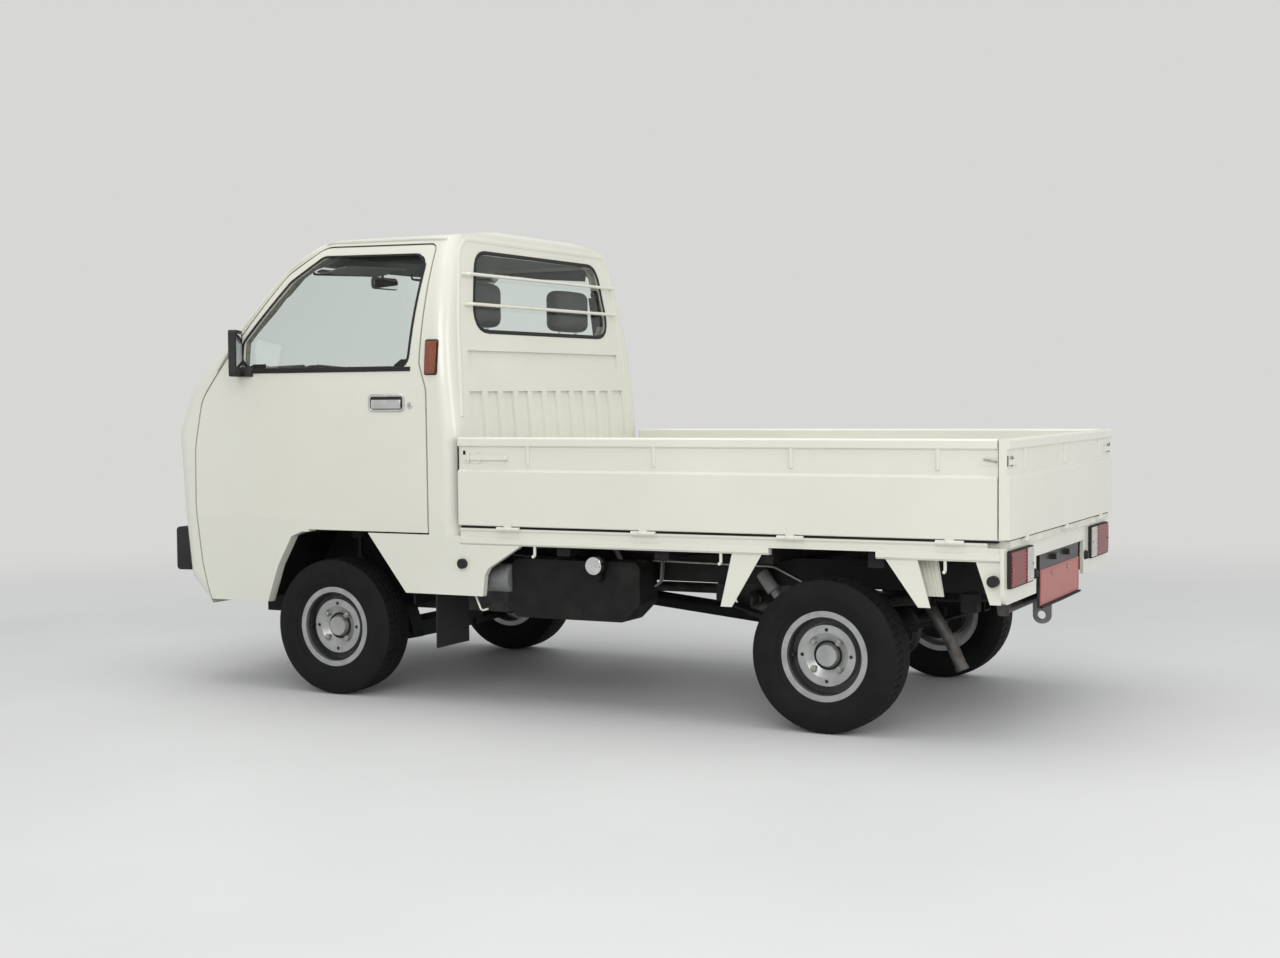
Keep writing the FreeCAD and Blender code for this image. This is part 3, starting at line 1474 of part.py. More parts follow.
def rear_axle():
    tube = rod(V(rear_axle_x, -axle_tube_half, tyre_radius), V(rear_axle_x, axle_tube_half, tyre_radius),
               axle_tube_radius)
    ball = Part.makeSphere(diff_radius, V(rear_axle_x, 0, tyre_radius))
    nose = Part.makeCone(diff_radius / 2, diff_nose_radius, diff_nose_length,
                         V(rear_axle_x + diff_radius * middle_share, 0, tyre_radius), V(1, 0, 0))
    pieces = [tube, ball, nose]
    for side in (-1, 1):
        plate = rod(V(rear_axle_x, axle_tube_half, tyre_radius),
                    V(rear_axle_x, axle_tube_half + back_plate_thickness, tyre_radius), back_plate_radius)
        spindle = rod(V(rear_axle_x, axle_tube_half, tyre_radius),
                      V(rear_axle_x, track / 2 + hub_face_y, tyre_radius), spindle_radius)
        seat_block = box(rear_axle_x - spring_width, rear_axle_x + spring_width,
                         spring_half - spring_width / 2, spring_half + spring_width / 2,
                         tyre_radius, spring_end_z - spring_sag)
        pieces += [side_of(piece, side) for piece in (plate, spindle, seat_block)]
    return fused(pieces)


def leaf(share, level):
    """One spring leaf: an arc over the axle, shortened by its share."""
    sag = spring_sag * share * share
    front_x = rear_axle_x + spring_front_reach * share
    rear_x = rear_axle_x - spring_rear_reach * share
    curve = Part.Arc(V(front_x, 0, level + sag), V(rear_axle_x, 0, level), V(rear_x, 0, level + sag))
    top = curve.copy()
    top.translate(V(0, 0, spring_leaf_thickness))
    ends = [Part.LineSegment(V(x, 0, level + sag), V(x, 0, level + sag + spring_leaf_thickness))
            for x in (front_x, rear_x)]
    face = Part.Face(Part.Wire(Part.__sortEdges__([c.toShape() for c in [curve, top] + ends])))
    face.translate(V(0, spring_half - spring_width / 2, 0))
    return face.extrude(V(0, spring_width, 0))


def leaf_spring():
    """Left spring: leaves stacked on the axle, the longest on top."""
    pieces = []
    base = spring_end_z - spring_sag
    for index in range(spring_leaf_count):
        share = share_between(short_leaf_share, 1, index / (spring_leaf_count - 1))
        one = leaf(share, base + index * spring_leaf_thickness)
        pieces.append(one)
    return fused(pieces)


def rear_damper():
    body = rod(V(rear_axle_x + damper_lead, damper_half, tyre_radius + axle_tube_radius - seat_gap),
               V(rear_axle_x + damper_lead, damper_half, rail_low_z - overrun), damper_radius)
    stem = rod(V(rear_axle_x + damper_lead, damper_half, rail_low_z - overrun),
               V(rear_axle_x + damper_lead, damper_half, rail_high_z - cross_member_height), strut_rod_radius)
    return fused([body, stem])


def rear_suspension():
    """Springs and dampers of both sides."""
    pieces = (leaf_spring(), rear_damper())
    return Part.makeCompound([side_of(piece, side) for side in (-1, 1) for piece in pieces])


def engine():
    """Plain engine block with the gearbox behind it."""
    block = box(engine_rear_x, engine_front_x, -engine_half, engine_half, engine_low_z, engine_high_z)
    box_length = engine_rear_x - gearbox_rear_x
    tail = Part.makeCone(gearbox_radius, gearbox_tail_radius, box_length,
                         V(engine_rear_x, 0, gearbox_z), V(-1, 0, 0))
    return fused([block, tail])


def propshaft():
    start = V(gearbox_rear_x, 0, gearbox_z)
    finish = V(rear_axle_x + diff_radius * middle_share + diff_nose_length, 0, tyre_radius)
    along = (finish - start).normalize()
    shaft = rod(start + along * shaft_joint_length / 2, finish - along * shaft_joint_length / 2, shaft_radius)
    front = rod(start, start + along * shaft_joint_length, shaft_joint_radius)
    rear = rod(finish - along * shaft_joint_length, finish, shaft_joint_radius)
    trimmed = fused([shaft, front, rear])
    return trimmed.cut([engine(), rear_axle()])


def fuel_tank():
    edge = tank_edge_radius
    tank = prism("xz", [
        (tank_front_x, tank_low_z, edge), (tank_front_x, tank_high_z, edge),
        (tank_rear_x, tank_high_z, edge),
        (tank_rear_x, tank_low_z + tank_chamfer, edge), (tank_rear_x + tank_chamfer, tank_low_z, edge)],
        tank_inner, tank_outer)
    neck_z = tank_high_z - 2 * edge
    neck = bent_rod([V(filler_x, tank_outer - edge, neck_z), V(filler_x, filler_y - edge, neck_z),
                     V(filler_x, filler_y, filler_z)], filler_radius / 2, filler_radius / 4)
    cap = rod(V(filler_x, filler_y - filler_cap_depth, filler_z), V(filler_x, filler_y, filler_z),
              filler_radius)
    straps = [box(tank_front_x + share * (tank_rear_x - tank_front_x) - filler_cap_depth / 2,
                  tank_front_x + share * (tank_rear_x - tank_front_x) + filler_cap_depth / 2,
                  rail_half + rail_width, tank_inner, rail_low_z + edge, rail_high_z - edge)
              for share in tank_strap_places_shares]
    return fused([tank, neck, cap] + straps)


def exhaust():
    """Silencer across the frame on two hangers, with the pipe from the engine."""
    can = rod(V(muffler_x, muffler_y - muffler_length / 2, muffler_z),
              V(muffler_x, muffler_y + muffler_length / 2, muffler_z), muffler_radius)
    rail_middle = rail_half + rail_width / 2
    rail_hanger = box(muffler_x - hanger_width / 2, muffler_x + hanger_width / 2,
                      -rail_middle - hanger_thickness / 2, -rail_middle + hanger_thickness / 2,
                      muffler_z, rail_low_z)
    inner_y = muffler_y + muffler_length / 2 - hanger_width
    deck_hanger = box(muffler_x - hanger_width / 2, muffler_x + hanger_width / 2,
                      inner_y - hanger_thickness / 2, inner_y + hanger_thickness / 2,
                      muffler_z, rail_high_z)
    pipe = bent_rod([V(engine_rear_x, -engine_half + pipe_bend, muffler_z - pipe_bend),
                     V(gearbox_rear_x, -engine_half + pipe_bend, muffler_z - pipe_bend),
                     V(gearbox_rear_x - pipe_bend, muffler_y + pipe_bend, muffler_z),
                     V(muffler_x, muffler_y + pipe_bend, muffler_z)], pipe_radius, pipe_bend)
    return fused([can, rail_hanger, deck_hanger, pipe])


def spare_wheel():
    """Spare laid flat under the bed between the rails."""
    tyre = wheel_tyre()
    rim = wheel_rim()
    both = []
    for piece in (tyre, rim):
        lying = piece.copy()
        lying.rotate(V(0, 0, 0), V(1, 0, 0), -90)
        lying.translate(V(spare_x, 0, spare_low_z + tyre_width / 2))
        both.append(lying)
    return both


def rubber_flaps():
    """Mud flaps behind the front wheels and stops for the lowered gates."""
    flap = box(flap_x - flap_thickness, flap_x, flap_inner, flap_outer, flap_low_z, arch_low_z)
    front_stop = rod(V(stop_front_x, deck_half, stop_front_z), V(stop_front_x, stop_face_y, stop_front_z),
                     stop_radius).cut(side_band(0))
    rear_stop = rod(V(stop_rear_x, stay_half, stop_rear_z), V(stop_rear_x, stop_face_y, stop_rear_z),
                    stop_radius)
    pieces = [flap, front_stop, rear_stop]
    return Part.makeCompound([side_of(piece, side) for side in (-1, 1) for piece in pieces])


# Whole truck

def build():
    skin = cab_skin()
    door = left_door(skin)
    side = left_side(skin)
    gate = left_gate()
    tyre = wheel_tyre()
    rim = wheel_rim()
    spare_tyre, spare_rim = spare_wheel()
    nodes = {
        "front_panel": front_panel(skin),
        "roof": roof(skin),
        "rear_wall": rear_wall(skin),
        "cab_floor": cab_floor(),
        "wheelhouses": pair(fused([wheelhouse(), strut_mount()])),
        "cab_glass": cab_glass(),
        "window_guard": window_guard(),
        "headlamps": headlamps(),
        "grille": grille(),
        "front_bumper": bumper(),
        "amber_lamps": indicators(),
        "dashboard": dashboard(),
        "steering_wheel": steering_wheel(),
        "frame_rails": rails(),
        "cross_members": cross_members(),
        "front_suspension": front_suspension(),
        "bed_deck": bed_deck(),
        "bed_sills": pair(left_sill()),
        "deck_bearers": deck_bearers(),
        "arch_stays": arch_stays(),
        "rear_panel": rear_panel(),
        "tail_lamps": tail_lamps(),
        "number_plate": number_plate(),
        "tailgate": tailgate(),
        "rear_axle": fused([rear_axle(), propshaft()]),
        "rear_suspension": rear_suspension(),
        "engine": engine(),
        "fuel_tank": fuel_tank(),
        "exhaust": exhaust(),
        "spare_tyre": spare_tyre,
        "spare_rim": spare_rim,
        "rubber_parts": rubber_flaps()}
    for name, sign in (("left", 1), ("right", -1)):
        nodes["cab_side_" + name] = side_of(side, sign)
        nodes["door_" + name] = side_of(door, sign)
        nodes["door_handle_" + name] = side_of(left_handle(), sign)
        nodes["door_glass_" + name] = side_of(left_door_glass(), sign)
        nodes["mirror_" + name] = side_of(left_mirror(), sign)
        nodes["gate_" + name] = side_of(gate, sign)
        nodes["seat_" + name] = seat(sign)
        nodes["knuckle_" + name] = side_of(knuckle(), sign)
        for end, axle_x in (("front", 0), ("rear", rear_axle_x)):
            nodes["tyre_" + end + "_" + name] = wheel_at(tyre, axle_x, sign)
            nodes["rim_" + end + "_" + name] = wheel_at(rim, axle_x, sign)
    return nodes


os.makedirs("parts", exist_ok=True)
for node, shape in build().items():
    shape.translate(V(-middle_x, 0, 0))
    shape.exportStep("parts/" + node + ".step")
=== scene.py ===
"""Dress for a kei truck with a drop-side bed: materials, detailed pieces, floor, light and camera.

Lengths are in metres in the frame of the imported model: X forward, Y to the left, Z up.
Places along the truck are counted from the front axle, as `ahead` turns them into the frame.
"""
import math

import bmesh
import bpy
from mathutils import Matrix, Vector
from mathutils.bvhtree import BVHTree


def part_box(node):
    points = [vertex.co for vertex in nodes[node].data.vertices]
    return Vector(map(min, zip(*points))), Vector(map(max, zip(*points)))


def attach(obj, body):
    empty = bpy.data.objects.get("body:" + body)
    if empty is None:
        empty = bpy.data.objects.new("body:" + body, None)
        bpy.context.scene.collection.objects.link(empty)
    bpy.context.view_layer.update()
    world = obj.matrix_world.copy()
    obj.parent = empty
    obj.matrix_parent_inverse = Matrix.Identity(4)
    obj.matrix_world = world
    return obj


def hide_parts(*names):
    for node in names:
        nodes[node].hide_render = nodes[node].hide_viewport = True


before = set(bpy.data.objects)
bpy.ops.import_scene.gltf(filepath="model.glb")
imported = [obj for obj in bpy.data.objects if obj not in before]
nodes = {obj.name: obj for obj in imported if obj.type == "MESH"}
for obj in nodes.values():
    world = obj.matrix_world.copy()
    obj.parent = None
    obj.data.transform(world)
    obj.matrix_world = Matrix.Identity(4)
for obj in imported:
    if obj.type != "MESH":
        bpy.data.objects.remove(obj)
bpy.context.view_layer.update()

sides = (("left", 1), ("right", -1))


def middle_of(node):
    """Centre of a CAD node's box."""
    low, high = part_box(node)
    return (low + high) / 2


front_hub = middle_of("tyre_front_left")
rear_hub = middle_of("tyre_rear_left")
tyre_low, tyre_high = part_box("tyre_front_left")
tyre_radius = (tyre_high.z - tyre_low.z) / 2
tyre_width = tyre_high.y - tyre_low.y
half_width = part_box("cab_side_left")[1].y
deck_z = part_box("bed_deck")[1].z


def ahead(x, y, z):
    """Point from its distance ahead of the front axle, its side offset and its height."""
    return Vector((front_hub.x + x, y, z))


# Materials

def new_material(name):
    """Empty node material with its main shader."""
    material = bpy.data.materials.new(name)
    material.use_nodes = True
    return material, material.node_tree.nodes["Principled BSDF"]


def add_node(material, kind, **inputs):
    """Shader node with some of its sockets set."""
    made = material.node_tree.nodes.new(kind)
    for socket, value in inputs.items():
        made.inputs[socket.replace("_", " ")].default_value = value
    return made


def join(material, source, output, target, socket):
    material.node_tree.links.new(source.outputs[output], target.inputs[socket])


def grain(material, scale, detail=4.0, kind="ShaderNodeTexNoise"):
    """Noise or cell pattern in the piece's own coordinates, cells to the metre."""
    place = add_node(material, "ShaderNodeTexCoord")
    pattern = add_node(material, kind, Scale=scale)
    if kind == "ShaderNodeTexNoise":
        pattern.inputs["Detail"].default_value = detail
    join(material, place, "Object", pattern, "Vector")
    return pattern


def pattern_output(pattern):
    return "Distance" if pattern.bl_idname == "ShaderNodeTexVoronoi" else "Fac"


def ramp_between(material, pattern, low_colour, high_colour, low=0.35, high=0.65):
    """Colour that runs between two shades as the pattern does."""
    ramp = add_node(material, "ShaderNodeValToRGB")
    ramp.color_ramp.elements[0].position = low
    ramp.color_ramp.elements[1].position = high
    ramp.color_ramp.elements[0].color = (*low_colour, 1)
    ramp.color_ramp.elements[1].color = (*high_colour, 1)
    join(material, pattern, pattern_output(pattern), ramp, "Fac")
    return ramp


def spread_value(material, pattern, low, high):
    """Number that runs between two values as the pattern does."""
    spread = add_node(material, "ShaderNodeMapRange")
    spread.inputs["To Min"].default_value = low
    spread.inputs["To Max"].default_value = high
    join(material, pattern, pattern_output(pattern), spread, "Value")
    return spread


def relief(material, shader, pattern, strength, distance):
    """Fine bump on the surface, its height in metres."""
    bump = add_node(material, "ShaderNodeBump", Strength=strength, Distance=distance)
    join(material, pattern, pattern_output(pattern), bump, "Height")
    join(material, bump, "Normal", shader, "Normal")
    return bump


def finish(name, dark, light, rough, blotch=6.0, relief_scale=700.0, relief_depth=0.00005,
           relief_kind="ShaderNodeTexNoise", **sockets):
    """Surface whose colour, roughness and fine relief vary; other sockets are set as they are."""
    material, shader = new_material(name)
    for socket, value in sockets.items():
        shader.inputs[socket.replace("_", " ")].default_value = value
    patches = grain(material, blotch, detail=8.0)
    ramp = ramp_between(material, patches, dark, light)
    join(material, ramp, "Color", shader, "Base Color")
    roughness = spread_value(material, patches, *rough)
    join(material, roughness, "Result", shader, "Roughness")
    relief(material, shader, grain(material, relief_scale, kind=relief_kind), 1.0, relief_depth)
    return material


def with_dirt(material, colour, scale, low, high):
    """Lays thin dust or scuffs over a finish where a coarse pattern is high."""
    shader = material.node_tree.nodes["Principled BSDF"]
    old = shader.inputs["Base Color"].links[0].from_node
    pattern = grain(material, scale, detail=12.0)
    amount = add_node(material, "ShaderNodeMapRange")
    amount.inputs["From Min"].default_value = low
    amount.inputs["From Max"].default_value = high
    join(material, pattern, "Fac", amount, "Value")
    mix = add_node(material, "ShaderNodeMix")
    mix.data_type = "RGBA"
    first, second, blended = 6, 7, 2
    mix.inputs[second].default_value = (*colour, 1)
    material.node_tree.links.new(amount.outputs["Result"], mix.inputs["Factor"])
    material.node_tree.links.new(old.outputs["Color"], mix.inputs[first])
    material.node_tree.links.new(mix.outputs[blended], shader.inputs["Base Color"])
    return material


def place_mask(material, tests):
    """1 where every test on a coordinate holds; a test has an axis, a sign, a level and whether it is mirrored."""
    place = add_node(material, "ShaderNodeTexCoord")
    split = add_node(material, "ShaderNodeSeparateXYZ")
    join(material, place, "Object", split, "Vector")
    total = None
    for axis, above, level, both_sides in tests:
        source, output = split, axis
        if both_sides:
            size = add_node(material, "ShaderNodeMath")
            size.operation = "ABSOLUTE"
            join(material, split, axis, size, 0)
            source, output = size, 0
        test = add_node(material, "ShaderNodeMath")
        test.operation = "GREATER_THAN" if above else "LESS_THAN"
        test.inputs[1].default_value = level
        join(material, source, output, test, 0)
        if total is not None:
            product = add_node(material, "ShaderNodeMath")
            product.operation = "MULTIPLY"
            join(material, total, 0, product, 0)
            join(material, test, 0, product, 1)
            test = product
        total = test
    return total


def two_tone(name, inside, outside, tests, rough, **sockets):
    """Surface with one pair of shades where the tests hold and another elsewhere."""
    material = finish(name, *outside, rough, **sockets)
    shader = material.node_tree.nodes["Principled BSDF"]
    old = shader.inputs["Base Color"].links[0].from_node
    marked = ramp_between(material, grain(material, 20.0, detail=6.0), *inside)
    mix = add_node(material, "ShaderNodeMix")
    mix.data_type = "RGBA"
    first, second, blended = 6, 7, 2
    material.node_tree.links.new(place_mask(material, tests).outputs[0], mix.inputs["Factor"])
    material.node_tree.links.new(old.outputs["Color"], mix.inputs[first])
    material.node_tree.links.new(marked.outputs["Color"], mix.inputs[second])
    material.node_tree.links.new(mix.outputs[blended], shader.inputs["Base Color"])
    return material


def clear_glass(name, tint, rough):
    """See-through glass with faint waves."""
    material, shader = new_material(name)
    shader.inputs["Base Color"].default_value = (*tint, 1)
    shader.inputs["Transmission Weight"].default_value = 1.0
    shader.inputs["IOR"].default_value = 1.25
    smears = grain(material, 9.0, detail=6.0)
    join(material, spread_value(material, smears, *rough), "Result", shader, "Roughness")
    relief(material, shader, smears, 0.1, 0.0001)
    return material


cream_dark = (0.70, 0.69, 0.605)
cream_light = (0.735, 0.725, 0.64)
paint = finish("cream_paint", cream_dark, cream_light, (0.22, 0.30), blotch=2.5,
               relief_scale=420.0, relief_depth=0.00002, Coat_Weight=0.4, Coat_Roughness=0.16)
deck_paint = with_dirt(
    finish("worn_deck_paint", (0.62, 0.61, 0.54), cream_light, (0.35, 0.55), blotch=5.0,
           relief_scale=260.0, relief_depth=0.0001), (0.36, 0.35, 0.31), 14.0, 0.60, 0.78)
trim_black = finish("grained_black_plastic", (0.014, 0.014, 0.014), (0.023, 0.023, 0.023), (0.48, 0.62),
                    relief_scale=1600.0, relief_depth=0.00012, relief_kind="ShaderNodeTexVoronoi",
                    Specular_IOR_Level=0.35)
seal_black = finish("black_seal_rubber", (0.010, 0.010, 0.010), (0.017, 0.017, 0.017), (0.52, 0.68),
                    relief_scale=900.0, relief_depth=0.00005, Specular_IOR_Level=0.35)
chassis_black = with_dirt(
    finish("black_chassis_paint", (0.006, 0.006, 0.006), (0.012, 0.012, 0.0115), (0.50, 0.68), blotch=18.0,
           relief_scale=240.0, relief_depth=0.0002, Specular_IOR_Level=0.22), (0.022, 0.020, 0.018), 9.0, 0.60, 0.84)
tyre_rubber = finish("tyre_rubber", (0.005, 0.005, 0.005), (0.009, 0.009, 0.0088), (0.68, 0.82), blotch=12.0,
                     relief_scale=500.0, relief_depth=0.0001, Specular_IOR_Level=0.22)
wheel_silver = finish("silver_wheel_paint", (0.35, 0.355, 0.35), (0.44, 0.445, 0.44), (0.30, 0.42), blotch=24.0,
                      relief_scale=1500.0, relief_depth=0.00004, Metallic=0.75)
# Painted shade: dark grey standing in for the shade deep in the wheels' wells.
painted_well_shade = finish("painted_shade_in_wheel_well", (0.030, 0.030, 0.030), (0.050, 0.050, 0.049), (0.45, 0.60), blotch=24.0,
                     relief_scale=900.0, relief_depth=0.00004)
bright_metal = finish("bright_plating", (0.62, 0.62, 0.61), (0.72, 0.72, 0.71), (0.12, 0.22), blotch=30.0,
                      relief_scale=800.0, relief_depth=0.00001, Metallic=1.0)
bolt_zinc = finish("zinc_bolt", (0.30, 0.30, 0.28), (0.44, 0.43, 0.40), (0.35, 0.50), blotch=120.0,
                   relief_scale=900.0, relief_depth=0.00005, Metallic=0.9)
damper_grey = finish("grey_damper_paint", (0.16, 0.165, 0.16), (0.22, 0.225, 0.22), (0.40, 0.55), blotch=20.0)
exhaust_steel = with_dirt(
    finish("exhaust_steel", (0.050, 0.047, 0.044), (0.095, 0.092, 0.088), (0.45, 0.62), blotch=22.0,
           relief_scale=300.0, relief_depth=0.0002, Metallic=0.5), (0.050, 0.030, 0.018), 26.0, 0.56, 0.76)
engine_cast = finish("cast_engine", (0.09, 0.09, 0.088), (0.17, 0.17, 0.165), (0.50, 0.70), blotch=20.0,
                     relief_scale=420.0, relief_depth=0.0006, Metallic=0.5)
cabin_plastic = finish("cabin_plastic", (0.035, 0.036, 0.037), (0.052, 0.053, 0.054), (0.55, 0.70),
                       relief_scale=1300.0, relief_depth=0.00015, relief_kind="ShaderNodeTexVoronoi")
belt_web = finish("belt_webbing", (0.030, 0.030, 0.030), (0.050, 0.050, 0.049), (0.75, 0.90), blotch=60.0,
                  relief_scale=900.0, relief_depth=0.0003)
head_lining = finish("roof_lining", (0.40, 0.41, 0.39), (0.48, 0.49, 0.47), (0.80, 0.92), blotch=60.0,
                     relief_scale=500.0, relief_depth=0.0004)
mat_rubber = finish("floor_mat", (0.020, 0.020, 0.021), (0.034, 0.034, 0.034), (0.65, 0.80), blotch=12.0,
                    relief_scale=220.0, relief_depth=0.0004)
seat_vinyl = finish("grey_seat_vinyl", (0.045, 0.047, 0.048), (0.070, 0.072, 0.072), (0.42, 0.58), blotch=10.0,
                    relief_scale=620.0, relief_depth=0.0003, relief_kind="ShaderNodeTexVoronoi")
plate_enamel = finish("red_plate_enamel", (0.38, 0.105, 0.090), (0.44, 0.135, 0.115), (0.30, 0.42), blotch=20.0,
                      relief_scale=300.0, relief_depth=0.00005)
red_lens = finish("red_lens", (0.17, 0.008, 0.008), (0.22, 0.012, 0.011), (0.26, 0.36), blotch=40.0,
                  relief_scale=240.0, relief_depth=0.0002, relief_kind="ShaderNodeTexVoronoi", Coat_Weight=0.1,
                  Specular_IOR_Level=0.3)
amber_lens = finish("amber_lens", (0.19, 0.040, 0.014), (0.26, 0.062, 0.018), (0.10, 0.18), blotch=40.0,
                    relief_scale=240.0, relief_depth=0.0004, relief_kind="ShaderNodeTexVoronoi", Coat_Weight=0.7,
                    Transmission_Weight=0.1)
window_glass = clear_glass("window_glass", (0.93, 0.97, 0.95), (0.0, 0.03))
lamp_glass = clear_glass("lamp_glass", (0.97, 0.98, 0.98), (0.02, 0.06))
mirror_silver = finish("mirror_silver", (0.80, 0.81, 0.82), (0.84, 0.85, 0.86), (0.01, 0.03), blotch=9.0,
                       relief_scale=20.0, relief_depth=0.000002, Metallic=1.0)

red_shades = ((0.17, 0.008, 0.008), (0.22, 0.012, 0.011))
clear_shades = ((0.50, 0.50, 0.49), (0.60, 0.60, 0.59))
black_shades = ((0.014, 0.014, 0.014), (0.022, 0.022, 0.022))
plate_shades = ((0.38, 0.105, 0.090), (0.44, 0.135, 0.115))
grey_shades = ((0.20, 0.20, 0.19), (0.28, 0.275, 0.26))
lamp_pair = two_tone("tail_lamp_lenses", red_shades, clear_shades, [("Y", True, 0.4831, True)], (0.26, 0.36),
                     relief_scale=240.0, relief_depth=0.0002, relief_kind="ShaderNodeTexVoronoi", Coat_Weight=0.1)
plate_pair = two_tone("plate_and_holder", plate_shades, black_shades,
                      [("X", False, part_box("number_plate")[1].x - 0.0081, False), ("Z", False, 0.4905, False)],
                      (0.30, 0.42), blotch=20.0, relief_scale=300.0, relief_depth=0.00005)
member_pair = two_tone("members_and_tow_eye", grey_shades, black_shades,
                       [("X", False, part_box("cross_members")[0].x + 0.120, False), ("Z", False, 0.468, False)],
                       (0.40, 0.60), blotch=18.0, relief_scale=240.0, relief_depth=0.0002)
lamp_bowl = finish("lamp_bowl", (0.50, 0.51, 0.51), (0.66, 0.67, 0.67), (0.08, 0.16), blotch=14.0,
                   relief_scale=130.0, relief_depth=0.0012, relief_kind="ShaderNodeTexVoronoi",
                   Metallic=0.8, Coat_Weight=1.0, Coat_Roughness=0.02)


# Making pieces

crease_angle = math.radians(32)


def mesh_object(name, vertices, faces, material, smooth=True):
    """Mesh in the scene with one material, smooth between its sharp edges."""
    mesh = bpy.data.meshes.new(name)
    mesh.from_pydata([tuple(vertex) for vertex in vertices], [], [tuple(face) for face in faces])
    mesh.validate()
    mesh.materials.append(material)
    tidy = bmesh.new()
    tidy.from_mesh(mesh)
    bmesh.ops.recalc_face_normals(tidy, faces=tidy.faces)
    tidy.to_mesh(mesh)
    tidy.free()
    if smooth:
        mesh.shade_smooth()
        mesh.set_sharp_from_angle(angle=crease_angle)
    made = bpy.data.objects.new(name, mesh)
    bpy.context.scene.collection.objects.link(made)
    return made


def add(name, form, material, body, smooth=True):
    """Piece from its vertices and faces, riding on a body."""
    made = mesh_object(name, form[0], form[1], material, smooth)
    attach(made, body)
    return made


def gathered(forms):
    """Several forms as one."""
    vertices, faces = [], []
    for form_vertices, form_faces in forms:
        start = len(vertices)
        vertices += list(form_vertices)
        faces += [tuple(index + start for index in face) for face in form_faces]
    return vertices, faces


def moved(form, shift):
    return [vertex + shift for vertex in form[0]], form[1]


def turned(form, angle, axis, about):
    """Form turned about a point by an angle in degrees."""
    turn = Matrix.Rotation(math.radians(angle), 3, axis)
    return [turn @ (vertex - about) + about for vertex in form[0]], form[1]


def other_side(form):
    """Form mirrored to the truck's right side."""
    return [Vector((vertex.x, -vertex.y, vertex.z)) for vertex in form[0]], form[1]


def on_side(form, side):
    return form if side > 0 else other_side(form)


def rounded(points, radius, steps=5, closed=True):
    """Flat or spatial polyline with its corners turned into arcs."""
    points = [Vector(point) for point in points]
    result = []
    count = len(points)
    for index, spot in enumerate(points):
        at_end = index in (0, count - 1)
        if at_end and not closed:
            result.append(spot)
            continue
        before = points[index - 1] - spot
        after = points[(index + 1) % count] - spot
        half_angle = before.angle(after) / 2
        reach = min(radius / math.tan(half_angle), before.length / 2, after.length / 2)
        start = spot + before.normalized() * reach
        finish_at = spot + after.normalized() * reach
        for step in range(steps + 1):
            share = step / steps
            first = start.lerp(spot, share)
            second = spot.lerp(finish_at, share)
            result.append(first.lerp(second, share))
    return result


def ring_section(radius, count=10):
    """Round section as offsets to the side and up."""
    return [(radius * math.cos(2 * math.pi * index / count), radius * math.sin(2 * math.pi * index / count))
            for index in range(count)]


def flat_section(width, height, chamfer):
    """Low section with bevelled top edges, standing on its base line."""
    half = width / 2
    return [(-half, 0), (half, 0), (half, height - chamfer), (half - chamfer, height),
            (-half + chamfer, height), (-half, height - chamfer)]


def swept(path, section, uprights, closed=False):
    """Section carried along a path; uprights give the way up at each point."""
    vertices, faces = [], []
    count = len(path)
    width = len(section)
    for index, spot in enumerate(path):
        before = path[index - 1] if closed or index else spot
        after = path[(index + 1) % count] if closed or index < count - 1 else spot
        along = (after - before).normalized()
        side = along.cross(uprights[index]).normalized()
        up = side.cross(along).normalized()
        vertices += [spot + side * across + up * rise for across, rise in section]
    rings = count if closed else count - 1
    for ring in range(rings):
        for index in range(width):
            here = ring * width + index
            beside = ring * width + (index + 1) % width
            next_ring = ((ring + 1) % count) * width
            faces.append((here, beside, next_ring + (index + 1) % width, next_ring + index))
    if not closed:
        faces.append(tuple(range(width)))
        faces.append(tuple(reversed(range((count - 1) * width, count * width))))
    return vertices, faces


def bar(points, radius, bend=0.0, count=10):
    """Round bar through the points, its bends rounded."""
    path = rounded(points, bend, closed=False) if bend else [Vector(point) for point in points]
    upright = Vector((0.13, 0.21, 1))
    along = (path[-1] - path[0]).normalized()
    if abs(along.z) > abs(along.x) and abs(along.z) > abs(along.y):
        upright = Vector((1, 0.13, 0.21))
    return swept(path, ring_section(radius, count), [upright] * len(path))


def lathed(profile, centre, axis="Y", count=48, closed=False):
    """Form turned about an axis through a centre; the profile has places along it and radii."""
    vertices, faces = [], []
    width = len(profile)
    for turn in range(count):
        angle = 2 * math.pi * turn / count
        for along, radius in profile:
            a, b = radius * math.cos(angle), radius * math.sin(angle)
            offset = {"X": (along, a, b), "Y": (a, along, b), "Z": (a, b, along)}[axis]
            vertices.append(centre + Vector(offset))
    spans = width if closed else width - 1
    for turn in range(count):
        for index in range(spans):
            here = turn * width
            after = ((turn + 1) % count) * width
            following = (index + 1) % width
            faces.append((here + index, here + following, after + following, after + index))
    if not closed:
        for end in (0, width - 1):
            if profile[end][1] > 0:
                faces.append(tuple(turn * width + end for turn in range(count)))
    return vertices, faces


def slab(outline, low, high, plane="xz"):
    """Flat-faced solid from an outline in a plane, between two levels across it."""
    order = {"xz": lambda a, b, c: (a, c, b), "yz": lambda a, b, c: (c, a, b), "xy": lambda a, b, c: (a, b, c)}
    place = order[plane]
    count = len(outline)
    vertices = [Vector(place(point[0], point[1], low)) for point in outline]
    vertices += [Vector(place(point[0], point[1], high)) for point in outline]
    faces = [tuple(range(count)), tuple(range(count, 2 * count))]
    faces += [(index, (index + 1) % count, count + (index + 1) % count, count + index) for index in range(count)]
    return vertices, faces


def block(low, high):
    """Box between two corners."""
    outline = [(low[0], low[1]), (high[0], low[1]), (high[0], high[1]), (low[0], high[1])]
    return slab(outline, low[2], high[2], "xy")


